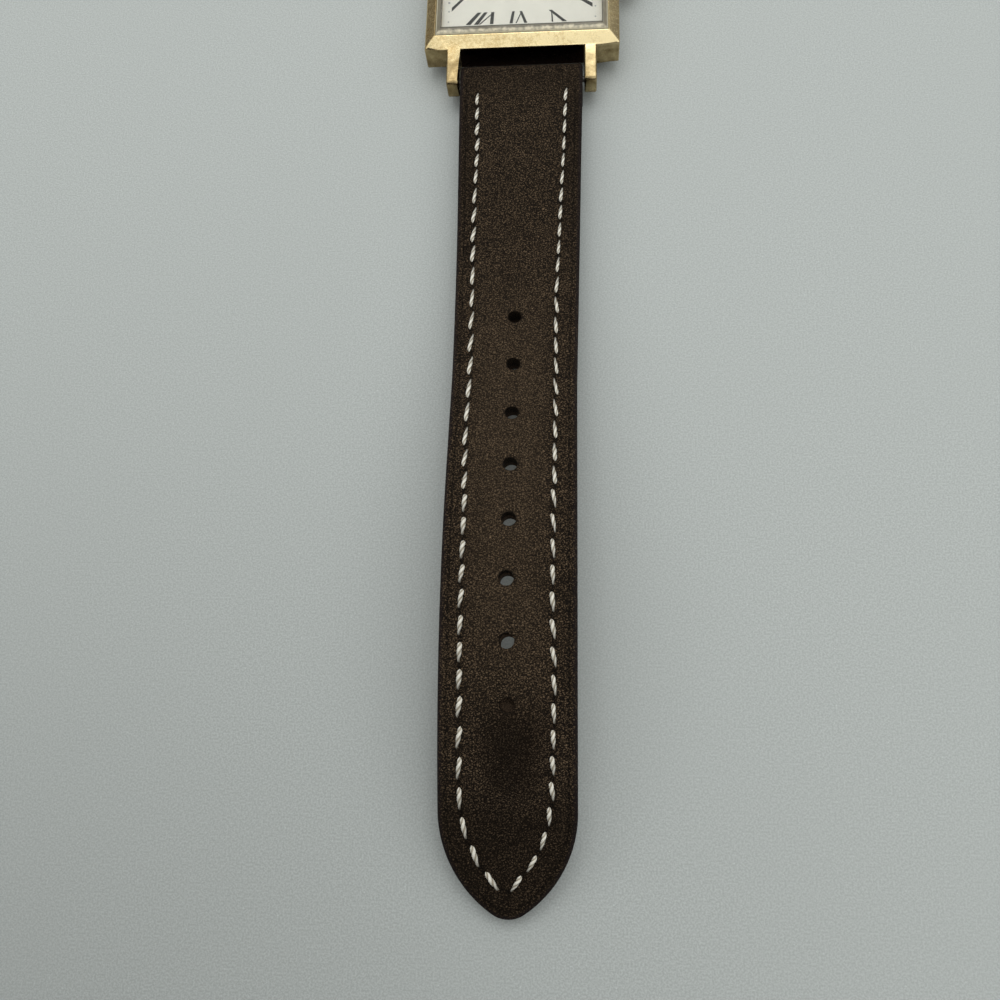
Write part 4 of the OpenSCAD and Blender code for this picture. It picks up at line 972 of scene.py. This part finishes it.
def open_tang_slot(strap, top, _lining):
    """Cut the slot for the tang through the short piece's leather where it turns round the buckle's bar."""
    y, z, slope = [float(v) for v in strap.at(FOLD_S)]
    rest_selection()
    bpy.ops.mesh.primitive_cube_add(size=MM, location=(0, (y + 4) * MM, (z - 1.4) * MM),
                                    rotation=(math.radians(slope / 2), 0, 0), scale=(TANG_SLOT, 8.1, 8))
    slot = bpy.context.object
    bpy.ops.object.transform_apply(location=True, rotation=True, scale=True)
    apply(slot, "BEVEL", width=0.5 * MM, segments=3, limit_method="ANGLE")
    cut(top, slot)
    drop(slot)


# Thread


def make_stitch():
    """One stitch of two-ply thread, 1 mm long from pit to pit, fullest past its middle."""
    rows, uvs, end_shades = [], [], []
    for i in range(STITCH_STEPS):
        t = i / (STITCH_STEPS - 1)
        belly = math.sin(math.pi * t**1.7) ** 0.5 if 0 < t < 1 else 0.0
        twist = 2.3 * math.pi * t
        row, uv = [], []
        for k in range(STITCH_SIDES + 1):
            a = 2 * math.pi * k / STITCH_SIDES
            radius = (THREAD_R + THREAD_BELLY * belly) * (0.78 + 0.26 * abs(math.cos(a)))
            y = radius * math.cos(a + twist)
            z = 0.8 * radius * math.sin(a + twist) + 0.23 * belly - 0.17
            row.append((t - 0.5, y, z))
            uv.append((t * 2.2, k / STITCH_SIDES))
        rows.append(row)
        uvs.append(uv)
        # Painted shade at one end, where the thread goes into the leather, fading along the stitch
        end_shades.append([max(0.0, 1 - t / 0.12, 0.65 * (1 - t / 0.6))] * (STITCH_SIDES + 1))
    stitch = grid_piece("stitch", np.array(rows), np.array(uvs), {"deep": np.array(end_shades)})
    weld(stitch)
    cap_ends(stitch)
    smooth(stitch, 60)
    return stitch


def stitch_matrix(strap, ends, plump, upper):
    """Where a stitch goes: its length from end to end in the plan, on the face or the underside."""
    places = []
    for x, s in ends:
        along = np.array([s])
        height = np.array([STITCH_OUT]) if upper else -strap.thickness(along) - STITCH_OUT
        places.append(strap.point(np.array([x]), along, height)[0])
    a, b = places
    length = np.linalg.norm(b - a)
    forward = (b - a) / length
    slope = math.radians(float(strap.at((ends[0][1] + ends[1][1]) / 2)[2]))
    normal = np.array((0, -strap.sign * math.sin(slope), math.cos(slope))) * (1 if upper else -1)
    matrix = np.eye(4)
    matrix[:3, 0] = forward * length
    matrix[:3, 1] = np.cross(normal, forward) * plump
    matrix[:3, 2] = normal * plump
    matrix[:3, 3] = (a + b) / 2 * MM
    return matrix


def sew(strap, name, stitch, upper=True):
    """Set stitches along both rows of a strap piece, on its face or its underside."""
    copies = []
    for side in (-1, 1):
        for index, (place, way, gap) in enumerate(stitch_places(strap, side, knots_of(strap, side))):
            far = min(1.0, max(0.0, (place[1] - 50) / 30)) if strap.pointed else 0.5
            lean = 0.14 * side * (1 + 0.5 * math.sin(5.1 * index + 2 * side))
            if strap.pointed and side > 0 and place[1] < 35:
                lean *= -0.4
            reach = (way + lean * np.array((way[1], -way[0]))) * (0.8 - 0.06 * far) * gap / 2
            ends = [place - reach, place + reach]
            if strap.pointed and place[1] > 64:
                ends.reverse()
            plump = ((1.0 if side < 0 else 0.9) + 0.2 * far) * (1 + 0.08 * math.sin(7.3 * index + side))
            copies.append(place_copy(stitch, "stitch_copy", stitch_matrix(strap, ends, plump, upper)))
    return join(copies, name)


# Keepers


def refined(path):
    """A closed path with its long straight runs divided into short steps."""
    closed = np.concatenate([path, path[:1]])
    points = []
    for a, b in zip(closed, closed[1:]):
        far = np.hypot(*(b - a)) > 1.0
        points += [a + (b - a) * share for share in np.linspace(0, 1, KEEPER_STEPS if far else 2)[:-1]]
    points.append(closed[0])
    return np.array(points)


def keeper_paths(half_w, low, high):
    """The band's inner and outer outline across the strap, with rounded corners."""
    corners = ((half_w, low), (half_w, high), (-half_w, high), (-half_w, low))
    inner, outer = [], []
    for (cx, cz), start in zip(corners, (-90, 0, 90, 180)):
        sx, sz = math.copysign(1, cx), math.copysign(1, cz - 0.3)
        ox, oz = cx + sx * KEEPER_T, cz + sz * KEEPER_T
        for a in np.radians(np.linspace(start, start + 90, 9)):
            for path, x, z, r in ((inner, cx, cz, KEEPER_IN_R), (outer, ox, oz, KEEPER_OUT_R)):
                path.append((x - sx * r + r * math.cos(a), z - sz * r + r * math.sin(a)))
    return refined(np.array(inner)), refined(np.array(outer))


def make_keeper(name, strap, s, gap):
    """A keeper's leather band: a closed ring with a crowned face and creased edges."""
    y, z, slope = [float(v) for v in strap.at(s)]
    slope = math.radians(slope)
    inner, outer = keeper_paths(float(strap.half(s)) + gap, -STRAP_T - gap, KEEPER_TOP + gap)
    run = np.concatenate([[0], np.cumsum(np.hypot(*np.diff(outer, axis=0).T))])
    across = [-1.0, -0.985, -0.94, -0.86, -0.79, -0.74, -0.7, -0.66, -0.6, -0.4, -0.2, 0.0]
    across = np.array(across + [-v for v in across[-2::-1]])
    out = np.abs(across)
    half = KEEPER_W / 2
    lift = -0.3 * unit((out - 0.86) / 0.14) ** 2.2 - 0.07 * bell(out - 0.72, 0.035)
    paint = np.concatenate([unit((out - 0.86) / 0.1), [1, 1, 0, 0, 0, 0, 0, 1, 1, 1]])
    # Painted shade along the keeper's crease
    dent_shade = np.concatenate([0.6 * bell(out - 0.72, 0.05), np.zeros(10)])
    rows, uvs = [], []
    for a, b, length in zip(inner, outer, run):
        t = np.hypot(*(b - a))
        outward = (b - a) / t
        face = [(b + outward * h, v * half) for h, v in zip(lift, across)]
        back = [(a, v * half) for v in (0.97, 0.5, 0.0, -0.5, -0.97)]
        side_a = [(a + outward * t * share, half) for share in (0.6, 0.2)]
        side_b = [(a + outward * t * share, -half) for share in (0.2, 0.6)]
        row = []
        for (px, ph), along in face + side_a + back + side_b + face[:1]:
            row.append((px, strap.sign * (y + along * math.cos(slope) - ph * math.sin(slope)),
                        z + along * math.sin(slope) + ph * math.cos(slope), along + s))
        rows.append([place[:3] for place in row])
        uvs.append([(length, place[3]) for place in row])
    count = len(rows)
    zero = np.zeros((count, len(rows[0])))
    piece = grid_piece(name, np.array(rows), np.array(uvs),
                       {"paint": np.tile(paint, (count, 1)), "dent_shade": np.tile(dent_shade, (count, 1)),
                        "wear_and_shade": zero, "painted_sheen": zero})
    weld(piece)
    smooth(piece, 50)
    return piece


# Settings


class WATCH_PG_strap(bpy.types.PropertyGroup):
    stitch_inset: FloatProperty(name="Stitch inset", description="Stitch rows' distance from the edge",
                                default=0.0023, unit="LENGTH", precision=5)
    leather_dark: FloatVectorProperty(name="Leather creases", description="Colour in the grain's creases",
                                      default=(0.0055, 0.0032, 0.0014), subtype="COLOR")
    leather_mid: FloatVectorProperty(name="Leather", description="Colour of the leather",
                                     default=(0.0410, 0.0264, 0.0140), subtype="COLOR")
    leather_light: FloatVectorProperty(name="Leather highlights", description="Colour of the worn grain",
                                       default=(0.150, 0.103, 0.062), subtype="COLOR")
    edge_paint: FloatVectorProperty(name="Edge paint", description="Colour of the painted edges",
                                    default=(0.0075, 0.0048, 0.0050), subtype="COLOR")
    lining: FloatVectorProperty(name="Lining", description="Colour of the lining leather",
                                default=(0.085, 0.056, 0.036), subtype="COLOR")
    thread: FloatVectorProperty(name="Thread", description="Colour of the stitching thread",
                                default=(0.96, 0.93, 0.83), subtype="COLOR")


class WATCH_PG_case(bpy.types.PropertyGroup):
    edge_round: FloatProperty(name="Edge rounding", description="Rounding of the case's polished edges",
                              default=0.00022, unit="LENGTH", precision=5)
    gold: FloatVectorProperty(name="Gold", description="Colour of the gold plating",
                              default=(0.80, 0.665, 0.38), subtype="COLOR")
    gold_worn: FloatVectorProperty(name="Worn gold", description="Colour of the plating where it is worn",
                                   default=(0.50, 0.36, 0.165), subtype="COLOR")
    silver: FloatVectorProperty(name="Dial", description="Colour of the silvered dial",
                                default=(0.81, 0.765, 0.685), subtype="COLOR")
    glass: FloatVectorProperty(name="Crystal", description="Tint of the mineral glass",
                               default=(0.93, 0.95, 0.94), subtype="COLOR")
    # The facet's colour is painted light and shade for what its glass shows
    facet: FloatVectorProperty(name="Crystal facet", description="Colour of the crystal's ground facet",
                               default=(0.235, 0.212, 0.157), subtype="COLOR")
    seal: FloatVectorProperty(name="Seal", description="Colour of the seal round the crystal",
                              default=(0.66, 0.62, 0.47), subtype="COLOR")


class WATCH_PG_stage(bpy.types.PropertyGroup):
    floor: FloatVectorProperty(name="Floor", description="Colour of the floor",
                               default=(0.46, 0.49, 0.478), subtype="COLOR")
    lamp_power: FloatProperty(name="Lamp", description="Power of the overhead panel, in watts", default=0.42)
    sky: FloatVectorProperty(name="Dome", description="Colour of the pale dome overhead",
                             default=(1.13, 1.145, 1.13), max=4.0, subtype="COLOR")
    surround: FloatVectorProperty(name="Room", description="Colour of the dim room round the stage",
                                  default=(0.19, 0.18, 0.165), subtype="COLOR")


# Operators


def made(name, make, *values):
    """The finish of this name, made once and then shared."""
    return bpy.data.materials.get(name) or make(name, *values)


def strap_finish(context):
    looks = context.scene.watch_strap
    return made("strap_leather_grain", leather_finish, looks.leather_dark, looks.leather_mid,
                looks.leather_light, looks.edge_paint)


def lining_finish(context):
    looks = context.scene.watch_strap
    base = list(looks.lining)
    return made("lining_leather_smooth", leather_finish, [0.6 * v for v in base], base,
                [1.35 * v for v in base], looks.edge_paint, 0.7, 0.6, 0.4)


def thread_of(context):
    pale = list(context.scene.watch_strap.thread)
    shade = [part * v for part, v in zip((0.4, 0.36, 0.3), pale)]
    return made("waxed_thread", thread_finish, pale, shade)


def gold_of(context):
    looks = context.scene.watch_case
    return made("gold_plating_worn", gold_finish, looks.gold, looks.gold_worn)


def long_strap(context):
    looks = context.scene.watch_strap
    return StrapPiece(LONG_BENDS, LONG_LEN, -1, LONG_END_W, LONG_TAPER, LONG_PAD, True, looks)


def short_strap(context):
    looks = context.scene.watch_strap
    return StrapPiece(SHORT_BENDS, SHORT_LEN, 1, SHORT_END_W, SHORT_TAPER, SHORT_PAD, False, looks)


def pits_of(strap):
    """Where the thread dives: between each two stitches and at the rows' ends."""
    pits = []
    for side in (-1, 1):
        for place, way, gap in stitch_places(strap, side, knots_of(strap, side)):
            for end in (-0.43, 0.43):
                pits.append(place + way * gap * end)
    return pits


def dress_strap(context, strap, name, body, open_layers):
    """Make one strap piece: its looped top leather, lining, openings and stitches."""
    pits = pits_of(strap)
    top = make_shell(f"{name}_leather", strap, pits)
    lining = make_shell(f"{name}_lining_leather", strap, pits, False)
    open_layers(strap, top, lining)
    smooth(top, 50)
    smooth(lining, 50)
    finish_piece(top, strap_finish(context), body, "strap_leather", f"{name}_top", f"{name}_padding")
    finish_piece(lining, lining_finish(context), body, "lining_leather", f"{name}_lining")
    stitch = make_stitch()
    thread = thread_of(context)
    upper = sew(strap, f"{name}_stitches", stitch)
    finish_piece(upper, thread, body, "strap_thread", f"{name}_stitching")
    under = sew(strap, f"{name}_under_stitches", stitch, False)
    finish_piece(under, thread, body, "strap_thread")
    drop(stitch)


class WATCH_OT_long_strap(bpy.types.Operator):
    """Make the long strap piece: looped top leather, lining, pin holes and stitches"""

    bl_idname = "watch.long_strap"
    bl_label = "Long strap piece"

    def execute(self, context):
        dress_strap(context, long_strap(context), "long_strap", "strap_long", open_pin_holes)
        return {"FINISHED"}


class WATCH_OT_short_strap(bpy.types.Operator):
    """Make the short strap piece: looped top leather with the tang's slot, lining and stitches"""

    bl_idname = "watch.short_strap"
    bl_label = "Short strap piece"

    def execute(self, context):
        dress_strap(context, short_strap(context), "short_strap", "strap_short", open_tang_slot)
        return {"FINISHED"}


class WATCH_OT_keepers(bpy.types.Operator):
    """Make the fixed and the free keeper's leather bands"""

    bl_idname = "watch.keepers"
    bl_label = "Keepers"

    def execute(self, context):
        strap = short_strap(context)
        bodies = {"fixed": "strap_short", "free": "sliding_keeper"}
        for kind, s, gap in KEEPERS:
            band = make_keeper(f"{kind}_keeper_band", strap, s, gap)
            finish_piece(band, strap_finish(context), bodies[kind], "strap_leather", f"{kind}_keeper")
        return {"FINISHED"}


class WATCH_OT_case(bpy.types.Operator):
    """Round the gold case, crown and hands and finish them in worn gold plating"""

    bl_idname = "watch.case"
    bl_label = "Case, crown and hands"

    def execute(self, context):
        gold = gold_of(context)
        edge = context.scene.watch_case.edge_round * 1000
        middle = rounded_copy("case_middle", "gold_case", edge, 3, case_share)
        finish_piece(middle, gold, "case", "gold_plating", "case_middle")
        for node, name, width, body in (
            ("crown", "fluted_crown", 0.05, "crown_stem"),
            ("hour_hand", "leaf_hour_hand", 0.02, "hour_arbor"),
            ("minute_hand", "leaf_minute_hand", 0.02, "minute_arbor"),
        ):
            piece = rounded_copy(node, name, width)
            finish_piece(piece, gold, body, "gold_plating", node)
        return {"FINISHED"}


class WATCH_OT_buckle(bpy.types.Operator):
    """Round the buckle's frame and tang and finish them in worn gold plating"""

    bl_idname = "watch.buckle"
    bl_label = "Buckle"

    def execute(self, context):
        gold = gold_of(context)
        for node, name, width, body in (
            ("buckle_frame", "rounded_buckle_frame", 0.3, "buckle"),
            ("buckle_tang", "rounded_buckle_tang", 0.15, "tang"),
        ):
            piece = rounded_copy(node, name, width, 3)
            finish_piece(piece, gold, body, "gold_plating", node)
        return {"FINISHED"}


class WATCH_OT_face(bpy.types.Operator):
    """Finish the dial, its numerals and dots, the crystal and the seals round it"""

    bl_idname = "watch.face"
    bl_label = "Dial and crystal"

    def execute(self, context):
        looks = context.scene.watch_case
        coat("crystal", glass_finish("mineral_glass", looks.glass, looks.facet))
        coat("dial", dial_finish("silvered_dial_rays", looks.silver, [0.88 * v for v in looks.silver]))
        ink = plain_finish("black_dial_print", (0.012, 0.011, 0.009), (0.022, 0.020, 0.016), 0.45, 8.0,
                           Specular_IOR_Level=0.1)
        coat("hour_numerals", ink)
        grey = plain_finish("grey_dial_print", (0.30, 0.30, 0.285), (0.38, 0.38, 0.36), 0.5, 8.0)
        coat("minute_dots", grey)
        seal = plain_finish("clear_seal", looks.seal, [0.85 * v for v in looks.seal], 0.4, 2.0)
        finish_piece(make_lip(), seal, "case", "clear_gasket", "crystal_gasket")
        rubber = plain_finish("seal_rubber", (0.012, 0.012, 0.013), (0.02, 0.02, 0.021), 0.6, 5.0)
        coat("case_back_gasket", rubber)
        coat("crown_gasket", rubber)
        return {"FINISHED"}


def coat(node, finish):
    """Give a solid that stays in view its finish."""
    mesh = NODES[node].data
    mesh.materials.clear()
    mesh.materials.append(finish)


BAR_PARTS = [f"{bar}_{part}" for bar in ("bar_6", "bar_12", "buckle_bar")
             for part in ("tube", "spring", "tip_left", "tip_right")]
# Each metal's name, two tones, roughness, grain's stretch and scale, depth and the solids made of it
METALS = (
    ("brushed_back_steel", (0.50, 0.49, 0.47), (0.66, 0.65, 0.62), 0.32, (0.25, 9, 9), 2.2, 0.012,
     ("case_back",)),
    ("spring_bar_steel", (0.13, 0.12, 0.11), (0.2, 0.19, 0.18), 0.5, (8, 0.6, 0.6), 3.0, 0.006, BAR_PARTS),
    ("polished_steel_parts", (0.60, 0.60, 0.59), (0.72, 0.72, 0.71), 0.22, (3, 3, 3), 3.0, 0.006,
     ("winding_stem", "setting_lever", "setting_pinion", "movement_screws", "battery", "battery_clamp",
      "quartz_can", "crown_tube", "rotor")),
    ("soft_iron_sheet", (0.42, 0.42, 0.41), (0.55, 0.55, 0.53), 0.38, (1, 7, 1), 2.5, 0.006,
     ("coil_core", "stator")),
    ("plated_brass_plate", (0.62, 0.60, 0.52), (0.76, 0.74, 0.66), 0.33, (5, 5, 1), 4.0, 0.006,
     ("main_plate", "train_bridge")),
    ("gear_brass_teeth", (0.70, 0.52, 0.22), (0.82, 0.65, 0.32), 0.28, (4, 4, 1), 4.0, 0.006,
     ("centre_wheel", "cannon_pinion", "hour_wheel", "minute_wheel", "third_wheel", "intermediate_wheel")),
    ("lacquered_copper", (0.62, 0.25, 0.10), (0.80, 0.40, 0.20), 0.3, (14, 1, 1), 2.0, 0.03,
     ("drive_coil",)),
)
# Each moulding's name, two tones, roughness, scale and solid
MOULDINGS = (
    ("green_board", (0.02, 0.13, 0.06), (0.03, 0.2, 0.09), 0.35, 2.0, "circuit_board"),
    ("black_resin_chip", (0.02, 0.02, 0.021), (0.04, 0.04, 0.04), 0.5, 6.0, "integrated_circuit"),
    ("white_moulding", (0.78, 0.77, 0.73), (0.84, 0.83, 0.79), 0.42, 1.5, "movement_holder"),
)


class WATCH_OT_metalwork(bpy.types.Operator):
    """Finish the case back, the spring bars and the movement's pieces"""

    bl_idname = "watch.metalwork"
    bl_label = "Back, bars and movement"

    def execute(self, context):
        for name, base, other, rough, grain, scale, depth, nodes in METALS:
            finish = metal_finish(name, base, other, rough, grain, scale, depth)
            for node in nodes:
                coat(node, finish)
        for name, base, other, rough, scale, node in MOULDINGS:
            coat(node, plain_finish(name, base, other, rough, scale))
        return {"FINISHED"}


def bright_dome(sky, surround):
    """Soft pale light overhead, which falls off toward the floor and toward the far side of the room."""
    world = bpy.data.worlds.new("bright_dome")
    world.use_nodes = True
    tree = world.node_tree

    def add(kind, values, **settings):
        node = tree.nodes.new("ShaderNode" + kind)
        for key, value in settings.items():
            setattr(node, key, value)
        for key, value in values.items():
            node.inputs[key].default_value = value
        return node

    place = add("TexCoord", {})
    split = add("SeparateXYZ", {})
    fall = add("MapRange", {"From Min": 0.36, "From Max": 0.6}, interpolation_type="SMOOTHSTEP")
    side = add("MapRange", {"From Min": 0.25, "From Max": 0.8, "To Min": 1.0, "To Max": 0.45},
               interpolation_type="SMOOTHSTEP")
    share = add("Math", {}, operation="MULTIPLY")
    blend = add("Mix", {6: (*surround, 1), 7: (*sky, 1)}, data_type="RGBA")
    for source, target in (
        (place.outputs["Generated"], split.inputs[0]),
        (split.outputs[2], fall.inputs["Value"]),
        (split.outputs[1], side.inputs["Value"]),
        (fall.outputs[0], share.inputs[0]),
        (side.outputs[0], share.inputs[1]),
        (share.outputs[0], blend.inputs[0]),
        (blend.outputs[2], tree.nodes["Background"].inputs["Color"]),
    ):
        tree.links.new(source, target)
    return world


class WATCH_OT_stage(bpy.types.Operator):
    """Set the floor, the pale dome, the overhead panel, the shade card and the camera"""

    bl_idname = "watch.stage"
    bl_label = "Floor, lamps and camera"

    def execute(self, context):
        looks = context.scene.watch_stage
        rest_selection()
        bpy.ops.mesh.primitive_grid_add(x_subdivisions=8, y_subdivisions=8, size=FLOOR_SIZE)
        floor = context.object
        floor.name = "floor"
        f = Finish("pale_floor")
        speck = f.noise(4.6, 2, 0.6)
        glint = f.span(f.cells(1.1), 0.02, 0.12, 0.55, 0.0, True)
        broad = f.noise(0.02, 2)
        base = list(looks.floor)
        colour = f.mix(f.span(speck, 0.38, 0.62), [0.87 * v for v in base], [1.12 * v for v in base])
        colour = f.mix(glint, colour, [1.5 * v for v in base])
        colour = f.mix(f.span(broad, 0.3, 0.7, 0, 0.3), colour, [0.96 * v for v in base])
        f.surface(Base_Color=colour, Roughness=0.6, Specular_IOR_Level=0.3, Normal=f.bump(speck, 0.05, 0.5))
        floor.data.materials.append(f.material)
        rest_selection()
        bpy.ops.mesh.primitive_plane_add(size=1, location=CARD_AT, rotation=(CARD_TILT, 0, 0))
        card = context.object
        card.name = "shade_card"
        card.scale = CARD_SIZE
        bpy.ops.object.transform_apply(location=True, rotation=True, scale=True)
        card.visible_camera = False
        g = Finish("dark_card")
        g.surface(Base_Color=g.mix(g.noise(0.2), (0.045, 0.043, 0.04), (0.06, 0.057, 0.053)), Roughness=0.9)
        card.data.materials.append(g.material)
        context.scene.world = bright_dome(looks.sky, looks.surround)
        rest_selection()
        bpy.ops.object.light_add(type="AREA", location=LAMP_AT)
        lamp = context.object
        lamp.name = "overhead_panel"
        lamp.data.shape = "RECTANGLE"
        lamp.data.size, lamp.data.size_y = LAMP_SIZE
        lamp.data.energy = looks.lamp_power
        bpy.ops.object.camera_add(location=CAMERA_AT, rotation=CAMERA_TURN)
        camera = context.object
        camera.data.lens = LENS
        camera.data.sensor_width = 36
        camera.data.clip_start = 0.005
        context.scene.camera = camera
        context.scene.view_settings.view_transform = "Standard"
        return {"FINISHED"}


class WATCH_PT_panel(bpy.types.Panel):
    """Lists the watch's pieces in the sidebar"""

    bl_idname = "WATCH_PT_panel"
    bl_label = "Square watch"
    bl_space_type = "VIEW_3D"
    bl_region_type = "UI"
    bl_category = "Watch"

    def draw(self, context):
        for group in (context.scene.watch_strap, context.scene.watch_case, context.scene.watch_stage):
            for key in group.__annotations__:
                self.layout.prop(group, key)
        for step in STEPS:
            self.layout.operator(step.bl_idname)


STEPS = (WATCH_OT_stage, WATCH_OT_face, WATCH_OT_metalwork, WATCH_OT_case, WATCH_OT_buckle,
         WATCH_OT_long_strap, WATCH_OT_short_strap, WATCH_OT_keepers)
GROUPS = (("watch_strap", WATCH_PG_strap), ("watch_case", WATCH_PG_case), ("watch_stage", WATCH_PG_stage))


def register():
    for _, group in GROUPS:
        bpy.utils.register_class(group)
    for step in STEPS + (WATCH_PT_panel,):
        bpy.utils.register_class(step)
    for key, group in GROUPS:
        setattr(bpy.types.Scene, key, PointerProperty(type=group))


def unregister():
    for key, _ in GROUPS:
        delattr(bpy.types.Scene, key)
    for step in reversed(STEPS + (WATCH_PT_panel,)):
        bpy.utils.unregister_class(step)
    for _, group in reversed(GROUPS):
        bpy.utils.unregister_class(group)


def main():
    register()
    bpy.ops.watch.stage()
    bpy.ops.watch.face()
    bpy.ops.watch.metalwork()
    bpy.ops.watch.case()
    bpy.ops.watch.buckle()
    bpy.ops.watch.long_strap()
    bpy.ops.watch.short_strap()
    bpy.ops.watch.keepers()
    rest_selection()


if __name__ == "__main__":
    main()
